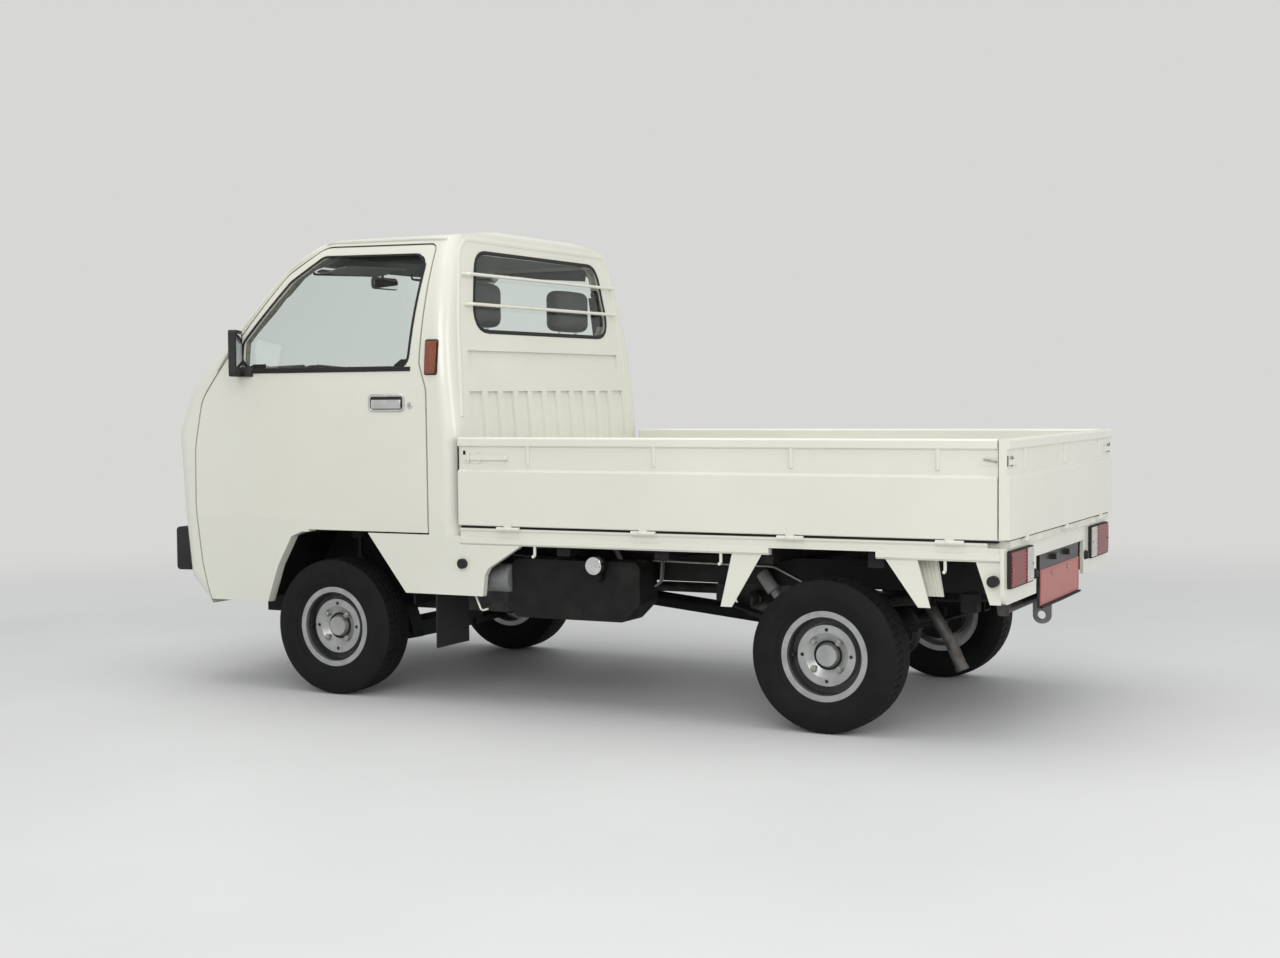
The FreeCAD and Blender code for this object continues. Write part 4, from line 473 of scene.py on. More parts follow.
def soften(piece, width, segments=3):
    """Rounds the edges of a piece."""
    bevel = piece.modifiers.new("edge", "BEVEL")
    bevel.width = width
    bevel.segments = segments
    bevel.limit_method = "ANGLE"
    bevel.angle_limit = crease_angle
    bevel.harden_normals = True
    return piece


def tree_of(*names):
    """Search tree over the surfaces of CAD nodes."""
    vertices, polygons = [], []
    for name in names:
        mesh = nodes[name].data
        start = len(vertices)
        vertices += [vertex.co.copy() for vertex in mesh.vertices]
        polygons += [tuple(index + start for index in polygon.vertices) for polygon in mesh.polygons]
    return BVHTree.FromPolygons(vertices, polygons)


def landed(tree, start, direction):
    """Where a ray from a point first meets a surface, with the surface's outward side."""
    spot, normal, _, _ = tree.ray_cast(Vector(start), Vector(direction))
    if spot is None:
        return None, None
    if normal.dot(Vector(direction)) > 0:
        normal = -normal
    return spot, normal


def smoothed(vectors, rounds=2, closed=True):
    """Directions averaged with their neighbours."""
    for _ in range(rounds):
        count = len(vectors)
        vectors = [(vectors[index - 1 if closed or index else index] + vectors[index]
                    + vectors[(index + 1) % count if closed or index < count - 1 else index]).normalized()
                   for index in range(count)]
    return vectors


def refined(points, step, closed=True):
    """Polyline with no run longer than a step."""
    result = []
    count = len(points)
    for index in range(count if closed else count - 1):
        start, stop = points[index], points[(index + 1) % count]
        pieces = max(1, math.ceil((stop - start).length / step))
        result += [start.lerp(stop, part / pieces) for part in range(pieces)]
    if not closed:
        result.append(points[-1])
    return result


# Finish of the CAD nodes

node_finish = {
    paint: ("front_panel", "roof", "rear_wall", "cab_side_left", "cab_side_right", "door_left", "door_right",
            "gate_left", "gate_right", "tailgate", "bed_sills", "arch_stays", "rear_panel", "window_guard"),
    deck_paint: ("bed_deck",),
    cabin_plastic: ("cab_floor", "dashboard"),
    # deck_bearers take the black chassis paint as painted shade: the real bearers are body-coloured but sit in shade
    # under the bed.
    chassis_black: ("wheelhouses", "frame_rails", "front_suspension", "deck_bearers", "fuel_tank", "rear_axle",
                    "rear_suspension", "knuckle_left", "knuckle_right"),
    member_pair: ("cross_members",),
    window_glass: ("cab_glass", "door_glass_left", "door_glass_right"),
    lamp_bowl: ("headlamps",),
    lamp_pair: ("tail_lamps",),
    amber_lens: ("amber_lamps",),
    trim_black: ("front_bumper", "grille", "mirror_left", "mirror_right", "steering_wheel"),
    bright_metal: ("door_handle_left", "door_handle_right"),
    seat_vinyl: ("seat_left", "seat_right"),
    engine_cast: ("engine",),
    exhaust_steel: ("exhaust",),
    plate_pair: ("number_plate",),
    seal_black: ("rubber_parts",),
    tyre_rubber: ("tyre_front_left", "tyre_front_right", "tyre_rear_left", "tyre_rear_right", "spare_tyre"),
    wheel_silver: ("rim_front_left", "rim_front_right", "rim_rear_left", "rim_rear_right", "spare_rim")}
edge_radius = {"gate_left": 0.003, "gate_right": 0.003, "tailgate": 0.003, "front_bumper": 0.004,
               "mirror_left": 0.003, "mirror_right": 0.003, "dashboard": 0.008, "fuel_tank": 0.004,
               "door_handle_left": 0.0015, "door_handle_right": 0.0015}


def weld_mesh(node):
    """Joins a CAD node's split corners, so that its edges can be rounded."""
    weld = nodes[node].modifiers.new("weld", "WELD")
    weld.merge_threshold = 0.00002


def finish_nodes():
    for material, names in node_finish.items():
        for name in names:
            mesh = nodes[name].data
            mesh.materials.clear()
            mesh.materials.append(material)
    for name, radius in edge_radius.items():
        weld_mesh(name)
        soften(nodes[name], radius)


finish_nodes()


# Tyres and wheel trim

bead_half = 0.053
bead_radius = 0.1275
shoulder_radius = 0.2345
crown_radius = 0.2399
groove_depth = 0.004
tread_half = 0.060
tread_pitches = 56
wheel_nodes = (("front_left", "front_left_wheel"), ("front_right", "front_right_wheel"),
               ("rear_left", "rear_left_wheel"), ("rear_right", "rear_right_wheel"))


def tread_rows():
    """Half the tread from its middle outward: place across, radius and whether blocks break it."""
    deep = crown_radius - groove_depth
    return [(0.000, crown_radius, False), (0.009, crown_radius, False), (0.010, deep, False),
            (0.014, deep, False), (0.015, crown_radius, True), (0.031, crown_radius - 0.0004, True),
            (0.032, deep, False), (0.036, deep, False), (0.037, crown_radius - 0.0008, True),
            (0.050, crown_radius - 0.0020, True), (tread_half, shoulder_radius + 0.0015, False),
            (0.0645, shoulder_radius - 0.006, False)]


def sidewall_rows():
    """Half the sidewall from the shoulder to the bead, with its thin moulded rings."""
    return [(0.0675, 0.222, False), (0.0700, 0.214, False), (0.0702, 0.2135, False), (0.0712, 0.206, False),
            (0.0722, 0.198, False), (0.0725, 0.190, False), (0.0722, 0.183, False), (0.0718, 0.1825, False),
            (0.0718, 0.1805, False), (0.0712, 0.180, False), (0.0690, 0.170, False), (0.0655, 0.160, False),
            (0.0652, 0.1585, False), (0.0632, 0.158, False), (0.0610, 0.150, False), (0.0588, 0.1435, False),
            (0.0575, 0.1415, False), (0.0545, 0.1405, False), (bead_half, 0.1385, False),
            (bead_half, bead_radius, False)]


def tyre_form():
    """Tyre about the Y axis with block tread: cross grooves cut where a row may break."""
    half = tread_rows() + sidewall_rows()
    rows = [(-across, radius, broken) for across, radius, broken in reversed(half[1:])] + half
    pitch = 2 * math.pi / tread_pitches
    turns = []
    for index in range(tread_pitches):
        for share, sunk in ((0.0, False), (0.40, False), (0.76, False), (0.80, True), (0.96, True)):
            turns.append(((index + share) * pitch, sunk))
    vertices, faces = [], []
    for angle, sunk in turns:
        for across, radius, broken in rows:
            lag = abs(across) / tread_half * pitch * 0.35 if radius > 0.2 else 0
            reach = radius - groove_depth * 0.8 if sunk and broken else radius
            vertices.append(Vector((reach * math.cos(angle + lag), across, reach * math.sin(angle + lag))))
    width = len(rows)
    for turn in range(len(turns)):
        after = (turn + 1) % len(turns)
        for index in range(width):
            following = (index + 1) % width
            faces.append((turn * width + index, turn * width + following,
                          after * width + following, after * width + index))
    return vertices, faces


def nut_form(radius, height):
    """Six-sided nut on a washer, rising along Y."""
    corners = 6
    profile = [(0, radius * 1.25), (height * 0.12, radius * 1.25), (height * 0.12, radius), (height * 0.85, radius),
               (height, radius * 0.8), (height, 0.45 * radius), (height * 1.15, 0.4 * radius), (height * 1.15, 0)]
    return lathed(profile, Vector((0, 0, 0)), count=corners * 2)


def wheel_trim():
    """Nuts on their washers on the outer face, about the wheel's centre."""
    forms = []
    disc_y, lug_circle, nut_radius, nut_height = 0.0385, 0.058, 0.0085, 0.010
    for index in range(4):
        angle = math.radians(45 + 90 * index)
        place = Vector((lug_circle * math.cos(angle), disc_y, lug_circle * math.sin(angle)))
        forms.append(moved(nut_form(nut_radius, nut_height), place))
    return gathered(forms)


def valve_form():
    """Rubber valve with its cap, through the rim between two lugs."""
    return bar([(0.104, 0.020, 0.0), (0.108, 0.038, 0.0), (0.106, 0.050, 0.0)], 0.0045, bend=0.006)


def groove_ring():
    """Dark ring in the groove round the hub cap."""
    profile = [(0.0222, 0.0385), (0.0236, 0.0400), (0.0236, 0.0445), (0.0222, 0.0460)]
    return lathed(profile, Vector((0, 0, 0)), closed=True)


def painted_shade_ring():
    """Painted shade: a dark ring in the well between the disc and the barrel, and up the barrel's inner wall, standing
    in for the shade of the deep well.
    """
    profile = [(0.0083, 0.1008), (0.0083, 0.1216), (0.0440, 0.1216), (0.0440, 0.1208), (0.0095, 0.1208),
               (0.0095, 0.1008)]
    return lathed(profile, Vector((0, 0, 0)), closed=True)


def dress_wheels():
    tyre = tyre_form()
    for place, body in wheel_nodes:
        centre = middle_of("tyre_" + place)
        sign = 1 if centre.y > 0 else -1
        made = add("tyre_tread_" + place, moved(on_side(tyre, sign), centre), tyre_rubber, body)
        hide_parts("tyre_" + place)
        add("wheel_nuts_" + place, moved(on_side(wheel_trim(), sign), centre), bolt_zinc, body)
        add("valve_" + place, moved(on_side(valve_form(), sign), centre), seal_black, body)
        # Painted shade ring in the well between the disc and the barrel.
        add("well_painted_shade_" + place, moved(on_side(painted_shade_ring(), sign), centre), painted_well_shade, body)
        add("hub_groove_" + place, moved(on_side(groove_ring(), sign), centre), chassis_black, body)
    centre = middle_of("spare_tyre")
    lying = [Vector((vertex.x, vertex.z, -vertex.y)) for vertex in tyre[0]], tyre[1]
    made = add("tyre_tread_spare", moved(lying, centre), tyre_rubber, "truck")
    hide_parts("spare_tyre")


dress_wheels()


# Seals and drip rails of the cab

screen_seal_width = 0.020
rear_seal_width = 0.014
door_seal_width = 0.009
seal_depth = 0.015
seal_rise = 0.0035
far_off = 1.5
door_window = [(0.354, 1.151), (0.354, 1.245), (0.178, 1.4565), (0.058, 1.541), (-0.378, 1.533), (-0.348, 1.151)]
door_window_bend = 0.045
screen = [(0.618, 1.130), (0.520, 1.528), (-0.520, 1.528), (-0.618, 1.130)]
screen_bend = 0.090
rear_window = [(0.500, 1.277), (0.440, 1.546), (-0.440, 1.546), (-0.500, 1.277)]
rear_window_bend = 0.078
drip_rail = [(0.470, 1.150), (0.358, 1.304), (0.208, 1.496), (0.070, 1.594), (-0.300, 1.592), (-0.468, 1.588)]
cab_surfaces = tree_of("cab_side_left", "cab_side_right", "roof", "front_panel", "rear_wall")
door_surface = tree_of("door_left")


def grown(outline, reach):
    """Flat outline moved outward all round; its points run round either way."""
    area = sum(a[0] * b[1] - b[0] * a[1] for a, b in zip(outline, outline[1:] + outline[:1]))
    sign = 1 if area > 0 else -1
    result = []
    for index, spot in enumerate(outline):
        before, after = outline[index - 1], outline[(index + 1) % len(outline)]
        along = Vector((after[0] - before[0], after[1] - before[1])).normalized()
        result.append((spot[0] + sign * along.y * reach, spot[1] - sign * along.x * reach))
    return result


def window_loop(outline, bend, spread_out):
    """Outline of an opening with round corners and short runs, moved outward."""
    flat = rounded([(a, b, 0) for a, b in outline], bend, steps=6)
    flat = refined(flat, 0.03)
    return grown([(point.x, point.y) for point in flat], spread_out)


def laid_on(tree, loop, place, direction):
    """Points of a flat loop on a surface, with the surface's way up at each."""
    spots, ups = [], []
    for a, b in loop:
        spot, up = landed(tree, place(a, b), direction)
        if spot is not None:
            spots.append(spot)
            ups.append(up)
    return spots, smoothed(ups)


def seal_section(outward, width):
    """Rubber channel: a lip on the panel, a rounded back and a leg down to the glass."""
    half = width / 2
    points = [(half, 0.0), (half, seal_rise * 0.6), (half * 0.6, seal_rise), (-half * 0.5, seal_rise),
              (-half, seal_rise * 0.4), (-half, -seal_depth), (-half * 0.35, -seal_depth), (-half * 0.35, 0.0)]
    return [(outward * across, rise) for across, rise in points]


def seal_round(tree, outline, bend, place, direction, sideways, width):
    """Seal form round an opening; sideways says which way the loop runs."""
    spots, ups = laid_on(tree, window_loop(outline, bend, width * 0.30), place, direction)
    return swept(spots, seal_section(sideways, width), ups, closed=True)


def window_seals():
    screen_form = seal_round(cab_surfaces, screen, screen_bend, lambda a, b: ahead(far_off, a, b), (-1, 0, 0), -1,
                             screen_seal_width)
    add("windscreen_seal", screen_form, seal_black, "truck")
    back_form = seal_round(cab_surfaces, rear_window, rear_window_bend,
                           lambda a, b: ahead(-far_off, a, b), (1, 0, 0), 1, rear_seal_width)
    add("rear_window_seal", back_form, seal_black, "truck")
    door_form = seal_round(door_surface, door_window, door_window_bend,
                           lambda a, b: ahead(a, far_off, b), (0, -1, 0), 1, door_seal_width)
    for name, sign in sides:
        add("door_window_seal_" + name, on_side(door_form, sign), seal_black, name + "_door")


def drip_rail_section():
    return [(-0.006, -0.002), (0.006, -0.002), (0.007, 0.006), (0.004, 0.009), (0.001, 0.007), (-0.004, 0.003)]


def drip_rails():
    path = refined(rounded([(x, z, 0) for x, z in drip_rail], 0.10, steps=8, closed=False), 0.03, closed=False)
    spots, ups = laid_on(cab_surfaces, [(point.x, point.y) for point in path],
                         lambda a, b: ahead(a, far_off, b), (0, -1, 0))
    form = swept(spots, drip_rail_section(), ups)
    for name, sign in sides:
        add("drip_rail_" + name, on_side(form, sign), paint, "truck")


window_seals()
drip_rails()


# Linings, laid on the cab's inner faces

lining_gap = 0.002
lining_jump = 0.030


def lining(tree, origin, across, along, counts, direction):
    """Sheet that follows the inner face a grid of rays meets, a little off it."""
    columns, rows = counts
    spots = {}
    for column in range(columns + 1):
        for row in range(rows + 1):
            start = origin + across * (column / columns) + along * (row / rows)
            spot, up = landed(tree, start, direction)
            if spot is not None:
                spots[(column, row)] = spot - Vector(direction) * lining_gap
    order = {key: index for index, key in enumerate(spots)}
    faces = []
    for column in range(columns):
        for row in range(rows):
            keys = [(column, row), (column + 1, row), (column + 1, row + 1), (column, row + 1)]
            if not all(key in spots for key in keys):
                continue
            depths = [spots[key].dot(Vector(direction)) for key in keys]
            if max(depths) - min(depths) < lining_jump:
                faces.append([order[key] for key in keys])
    return list(spots.values()), faces


def thicken(piece, thickness):
    solid = piece.modifiers.new("thickness", "SOLIDIFY")
    solid.thickness = thickness
    solid.offset = 0
    return piece


def cab_linings():
    ceiling = lining(cab_surfaces, ahead(-0.42, -0.56, 1.40), Vector((0.60, 0, 0)), Vector((0, 1.12, 0)),
                     (24, 44), (0, 0, 1))
    thicken(add("roof_lining", ceiling, head_lining, "truck"), 0.003)
    back = lining(cab_surfaces, ahead(-0.30, -0.60, 0.66), Vector((0, 1.20, 0)), Vector((0, 0, 0.59)),
                  (40, 20), (-1, 0, 0))
    thicken(add("rear_lining", back, cabin_plastic, "truck"), 0.003)
    card = lining(door_surface, ahead(-0.375, 0.40, 0.62), Vector((0.87, 0, 0)), Vector((0, 0, 0.50)),
                  (44, 26), (0, 1, 0))
    for name, sign in sides:
        thicken(add("door_card_" + name, on_side(card, sign), cabin_plastic, name + "_door"), 0.003)


cab_linings()


# Load bed: seals, latches, lamps, plate and stops

band_face = half_width - 0.009
tail_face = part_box("rear_panel")[0].x
lamp_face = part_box("tail_lamps")[0].x
lamp_low, lamp_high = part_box("tail_lamps")
lamp_inner = 0.398
lamp_split = 0.483


def across(x):
    """Place along X from its distance ahead of the front axle."""
    return front_hub.x + x


def plate_form(corner_points, bend, low, high, plane="xz"):
    """Flat plate with round corners between two levels."""
    outline = rounded([(a, b, 0) for a, b in corner_points], bend, steps=4)
    return slab([(point.x, point.y) for point in outline], low, high, plane)


def rectangle(low_a, high_a, low_b, high_b):
    return [(low_a, low_b), (high_a, low_b), (high_a, high_b), (low_a, high_b)]


def hoop(centre, radius, tube, axis):
    """Ring of round wire about an axis."""
    profile = [(tube * math.cos(math.pi * step / 4), radius + tube * math.sin(math.pi * step / 4))
               for step in range(8)]
    return lathed(profile, centre, axis, count=32, closed=True)


def bolt_head(place, radius, height):
    """Hexagon bolt head that rises to the left."""
    return moved(nut_form(radius, height), place)


def gate_seals():
    """Black strips that close the gaps under the lowered edges of the gates."""
    low, high = deck_z - 0.011, deck_z - 0.0045
    bulb = [(0.665, low), (0.684, low), (0.684, low + 0.003), (0.680, high), (0.672, high), (0.669, high - 0.003),
            (0.665, high - 0.003)]
    strip = slab(bulb, across(-2.389), across(-0.551), "yz")
    for name, sign in sides:
        add("gate_seal_" + name, on_side(strip, sign), seal_black, "truck")
    lip = [(across(-2.4205), 0.612), (across(-2.404), 0.612), (across(-2.405), 0.6145), (across(-2.412), 0.6158),
           (across(-2.4195), 0.6145)]
    add("tailgate_seal", slab(lip, -0.662, 0.662, "xz"), seal_black, "truck")
    edge = [(band_face - 0.020, 0.620), (band_face + 0.004, 0.620), (band_face + 0.004, 0.905),
            (band_face - 0.020, 0.905)]
    end_strip = slab(edge, across(-0.5492), across(-0.5450), "yz")
    for name, sign in sides:
        add("gate_end_seal_" + name, on_side(end_strip, sign), seal_black, name + "_side_gate")


def gate_latch():
    """Clamp plate, staple and pivot bolt of a side gate's front latch."""
    plate = plate_form(rectangle(across(-0.642), across(-0.560), 0.824, 0.870), 0.007,
                       band_face - 0.0005, band_face + 0.0022)
    slot = plate_form(rectangle(across(-0.5765), across(-0.5665), 0.852, 0.866), 0.003,
                      band_face + 0.0015, band_face + 0.0028)
    staple = bar([(across(-0.592), band_face, 0.859), (across(-0.592), band_face + 0.0125, 0.859),
                  (across(-0.592), band_face + 0.0125, 0.828), (across(-0.592), band_face, 0.828)], 0.003, bend=0.004)
    knob = lathed([(0, 0), (0, 0.008), (0.003, 0.008), (0.0045, 0.006), (0.0045, 0)],
                  Vector((across(-0.732), band_face + 0.0085, 0.843)), count=20)
    bolts = [bolt_head(Vector((across(-0.632), band_face + 0.002, height)), 0.0052, 0.004)
             for height in (0.8305, 0.8635)]
    return plate, slot, gathered([staple, knob] + bolts)


def gate_fittings():
    plate, slot, metal = gate_latch()
    loop = bar([(across(-2.352), band_face, 0.852), (across(-2.352), band_face + 0.008, 0.852),
                (across(-2.386), band_face + 0.008, 0.846), (across(-2.386), band_face, 0.842)], 0.003, bend=0.005)
    pad = plate_form(rectangle(across(-2.389), across(-2.340), 0.832, 0.862), 0.005,
                     band_face - 0.0005, band_face + 0.002)
    for name, sign in sides:
        body = name + "_side_gate"
        soften(add("latch_plate_" + name, on_side(plate, sign), paint, body), 0.0008, 2)
        add("latch_slot_" + name, on_side(slot, sign), seal_black, body)
        add("latch_metal_" + name, on_side(metal, sign), paint, body)
        soften(add("hook_plate_" + name, on_side(pad, sign), paint, body), 0.0006, 2)
        add("gate_hook_" + name, on_side(loop, sign), bolt_zinc, body)


def tailgate_fittings():
    """Rings that the side hooks catch, with their plates and dark slots."""
    face = across(-2.419)
    rings, plates, slots = [], [], []
    for sign in (1, -1):
        rings.append(hoop(Vector((face - 0.0045, sign * 0.655, 0.845)), 0.0135, 0.0024, "X"))
        low_y, high_y = sorted((sign * 0.632, sign * 0.678))
        plates.append(plate_form(rectangle(low_y, high_y, 0.824, 0.868), 0.006, face - 0.002, face + 0.0005, "yz"))
        low_y, high_y = sorted((sign * 0.684, sign * 0.690))
        slots.append(plate_form(rectangle(low_y, high_y, 0.830, 0.862), 0.002, face - 0.0015, face + 0.0005, "yz"))
    soften(add("ring_plates", gathered(plates), paint, "tail_gate"), 0.0006, 2)
    add("latch_rings", gathered(rings), bolt_zinc, "tail_gate")
    add("tailgate_slots", gathered(slots), seal_black, "tail_gate")


gate_seals()
gate_fittings()
tailgate_fittings()


# Lamps and number plate at the back

clear_lens = finish("clear_lens", (0.42, 0.41, 0.39), (0.52, 0.51, 0.49), (0.22, 0.32), blotch=40.0,
                    relief_scale=240.0, relief_depth=0.0002, relief_kind="ShaderNodeTexVoronoi", Coat_Weight=0.2)


def ribbed_lens(low_y, high_y, rib_count, depth):
    """Lens with moulded ribs across it, standing off the lamp's face."""
    low_z, high_z = lamp_low.z + 0.003, lamp_high.z - 0.003
    outline = [(lamp_face + 0.001, low_z), (lamp_face + 0.001, high_z)]
    steps = rib_count * 6
    for step in range(steps + 1):
        share = step / steps
        rise = depth * (0.55 + 0.45 * math.cos(2 * math.pi * share * rib_count))
        edge = min(1.0, min(share, 1 - share) * 12 + 0.25)
        outline.append((lamp_face - rise * edge, high_z + (low_z - high_z) * share))
    return slab(outline, low_y, high_y, "xz")


def lamp_frame(low_y, high_y):
    """Black gasket round a lamp."""
    low_z, high_z = lamp_low.z - 0.002, lamp_high.z + 0.002
    path = rounded([(tail_face, low_y, low_z), (tail_face, high_y, low_z), (tail_face, high_y, high_z),
                    (tail_face, low_y, high_z)], 0.006, steps=4)
    return swept(path, flat_section(0.005, 0.0115, 0.0015), [Vector((-1, 0, 0))] * len(path), closed=True)


def tail_lamp_dress():
    outer = lamp_high.y
    red = ribbed_lens(lamp_split + 0.003, outer - 0.003, 9, 0.0022)
    clear = ribbed_lens(lamp_inner + 0.003, lamp_split - 0.002, 14, 0.0018)
    divider = plate_form(rectangle(lamp_split - 0.0018, lamp_split + 0.0026, lamp_low.z, lamp_high.z), 0.0008,
                         lamp_face - 0.0026, lamp_face + 0.0005, "yz")
    screws = gathered([lathed([(0.001, 0), (0.001, 0.0035), (-0.0008, 0.0035), (-0.0016, 0.0022), (-0.0016, 0)],
                              Vector((lamp_face - 0.002, place, lamp_low.z + 0.051)), "X", count=14)
                       for place in (lamp_inner + 0.012, outer - 0.012)])
    for name, sign in sides:
        add("red_lens_" + name, on_side(red, sign), red_lens, "truck")
        add("clear_lens_" + name, on_side(clear, sign), clear_lens, "truck")
        add("lamp_divider_" + name, on_side(divider, sign), red_lens, "truck")
        add("lamp_frame_" + name, on_side(lamp_frame(lamp_inner - 0.002, outer + 0.002), sign), seal_black,
            "truck")
        add("lamp_screws_" + name, on_side(screws, sign), bolt_zinc, "truck")


def plate_dress():
    """Raised rim, bolts and lamp covers of the blank number plate."""
    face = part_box("number_plate")[1].x - 0.010
    path = rounded([(face, -0.254, 0.384), (face, 0.254, 0.384), (face, 0.254, 0.484), (face, -0.254, 0.484)],
                   0.012, steps=5)
    rim = swept(path, flat_section(0.004, 0.0012, 0.0005), [Vector((-1, 0, 0))] * len(path), closed=True)
    add("plate_rim", rim, plate_enamel, "truck")
    bolts = gathered([lathed([(0.0005, 0), (0.0005, 0.007), (-0.002, 0.007), (-0.004, 0.0045), (-0.004, 0)],
                             Vector((face, place, 0.470)), "X", count=18) for place in (-0.105, 0.105)])
    add("plate_bolts", bolts, bolt_zinc, "truck")
    lip = bar([(face - 0.004, -0.262, 0.374), (face - 0.006, 0.0, 0.3735), (face - 0.004, 0.262, 0.374)], 0.004)
    add("plate_lip", lip, chassis_black, "truck")
    covers = gathered([plate_form(rectangle(place - 0.021, place + 0.021, 0.5135, 0.5165), 0.001,
                                  face - 0.0135, face - 0.003, "yz") for place in (-0.09, 0.09)])
    add("plate_lamp_glass", covers, clear_lens, "truck")


def rear_stops():
    """Rubber stops for the lowered tailgate, beside the lamps."""
    profile = [(0.001, 0), (0.001, 0.016), (-0.003, 0.016), (-0.009, 0.0135), (-0.0125, 0.010), (-0.0125, 0.0035),
               (-0.010, 0.003), (-0.010, 0)]
    stops = gathered([lathed(profile, Vector((tail_face, place, 0.488)), "X", count=24) for place in (-0.345, 0.345)])
    add("tailgate_stops", stops, seal_black, "truck")


def tow_tube():
    """Cross tube under the tail, hung from the rails on two brackets."""
    tube = bar([(across(-2.336), -0.430, 0.378), (across(-2.336), 0.430, 0.378)], 0.013, count=14)
    brackets = [plate_form([(across(-2.362), 0.432), (across(-2.352), 0.362), (across(-2.320), 0.362),
                            (across(-2.310), 0.432)], 0.008, place - 0.003, place + 0.003) for place in (-0.425, 0.425)]
    add("tow_tube", gathered([tube] + brackets), exhaust_steel, "truck")


tail_lamp_dress()
plate_dress()
rear_stops()
tow_tube()


# Padded seats

seat_side_y = 0.330
pad_voxel = 0.0085
pad_frames = 18
pad_reach = 0.020
seat_lean = 6.0


def soft_block(low, high, bend, steps=5):
    """Block with well rounded corners, as the start of a pad."""
    centre = (Vector(low) + Vector(high)) / 2
    half = (Vector(high) - Vector(low)) / 2
    tool = bmesh.new()
    bmesh.ops.create_cube(tool, size=1.0)
    for vertex in tool.verts:
        vertex.co = centre + Vector((vertex.co.x * 2 * half.x, vertex.co.y * 2 * half.y, vertex.co.z * 2 * half.z))
    bmesh.ops.bevel(tool, geom=tool.edges[:], offset=bend, segments=steps, profile=0.5, affect="EDGES")
    vertices = [vertex.co.copy() for vertex in tool.verts]
    faces = [tuple(vertex.index for vertex in face.verts) for face in tool.faces]
    tool.free()
    return vertices, faces


def puffed(name, form):
    """Pad after its cover is blown up a little by a cloth simulation, as vertices and faces."""
    piece = mesh_object(name + "_start", form[0], form[1], seat_vinyl)
    remesh = piece.modifiers.new("remesh", "REMESH")
    remesh.mode = "VOXEL"
    remesh.voxel_size = pad_voxel
    even = piece.evaluated_get(bpy.context.evaluated_depsgraph_get()).to_mesh()
    start = [vertex.co.copy() for vertex in even.vertices]
    faces = [tuple(polygon.vertices) for polygon in even.polygons]
    bpy.data.objects.remove(piece)
    soft = mesh_object(name + "_cloth", start, faces, seat_vinyl)
    cloth = soft.modifiers.new("cloth", "CLOTH")
    cloth.settings.quality = 4
    cloth.settings.mass = 0.3
    cloth.settings.tension_stiffness = 9.0
    cloth.settings.bending_stiffness = 2.5
    cloth.settings.use_pressure = True
    cloth.settings.uniform_pressure_force = 4.0
    cloth.settings.effector_weights.gravity = 0.0
    cloth.collision_settings.use_collision = False
    cloth.point_cache.frame_start = 1
    cloth.point_cache.frame_end = pad_frames
    for number in range(1, pad_frames + 1):
        bpy.context.scene.frame_set(number)
    ended = soft.evaluated_get(bpy.context.evaluated_depsgraph_get())
    moved_to = [vertex.co.copy() for vertex in ended.data.vertices]
    result = []
    for before, after in zip(start, moved_to):
        step = after - before
        if step.length > pad_reach:
            step = step.normalized() * pad_reach
        result.append(before + step)
    bpy.data.objects.remove(soft)
    bpy.context.scene.frame_set(1)
    return result, faces


def channelled(form, centre, normal, along, spacing, count, reach_across, depth, width=0.007):
    """Sewn channels pressed into the front of a pad, and a seam round their field."""
    side = along.cross(normal).normalized()
    vertices = []
    half_field = spacing * count / 2
    for vertex in form[0]:
        offset = vertex - centre
        out = offset.dot(normal)
        a, b = offset.dot(along), offset.dot(side)
        press = 0.0
        if out > 0 and abs(b) < reach_across + width and abs(a) < half_field + width:
            nearest = abs((a / spacing + count / 2) - round(a / spacing + count / 2)) * spacing
            inside = abs(b) < reach_across
            if inside and nearest < width:
                press = 0.5 + 0.5 * math.cos(math.pi * nearest / width)
            rim = abs(abs(b) - reach_across)
            if rim < width and abs(a) < half_field:
                press = max(press, 0.5 + 0.5 * math.cos(math.pi * rim / width))
        vertices.append(vertex - normal * (press * depth))
    return vertices, form[1]


def pad(name, form, side_sign):
    """Left or right pad from the left one's form, smoothed by one subdivision."""
    made = add(name, on_side(form, side_sign), seat_vinyl, "truck")
    smoother = made.modifiers.new("smooth", "SUBSURF")
    smoother.levels = 1
    smoother.render_levels = 1
    return made


def seat_forms():
    """Cushion, back and head rest of the left seat."""
    shrink = 0.008
    y_low, y_high = seat_side_y - 0.240 + shrink, seat_side_y + 0.240 - shrink
    cushion = soft_block(ahead(-0.312, y_low, 0.6125 + 0.004), ahead(0.060 - shrink, y_high, 0.760 - shrink), 0.034)
    cushion = puffed("cushion", cushion)
    cushion = channelled(cushion, ahead(-0.125, seat_side_y, 0.70), Vector((0, 0, 1)), Vector((1, 0, 0)), 0.052, 5,
                         0.150, 0.006)
    back = soft_block(ahead(-0.390 + shrink, y_low, 0.690), ahead(-0.300 - shrink, y_high, 1.205 - shrink), 0.030)
    back = puffed("back", back)
    back = channelled(back, ahead(-0.345, seat_side_y, 0.955), Vector((1, 0, 0)), Vector((0, 0, 1)), 0.060, 6,
                      0.150, 0.006)
    pivot = ahead(-0.300, 0, 0.685)
    back = turned(back, -seat_lean, "Y", pivot)
    head = soft_block(ahead(-0.445 + 0.004, seat_side_y - 0.130 + 0.005, 1.290 + 0.004),
                      ahead(-0.365 - 0.004, seat_side_y + 0.130 - 0.005, 1.455 - 0.005), 0.030)
    return cushion, back, puffed("headrest", head)


def headrest_posts():
    """Chromed posts with their sleeves on top of the back."""
    forms = []
    for offset in (-0.065, 0.065):
        forms.append(bar([ahead(-0.405, seat_side_y + offset, 1.165), ahead(-0.405, seat_side_y + offset, 1.315)],
                         0.0058, count=14))
        forms.append(lathed([(0.0, 0.0), (0.0, 0.012), (0.006, 0.012), (0.010, 0.009), (0.010, 0.0)],
                            ahead(-0.405, seat_side_y + offset, 1.190), "Z", count=20))
    return gathered(forms)


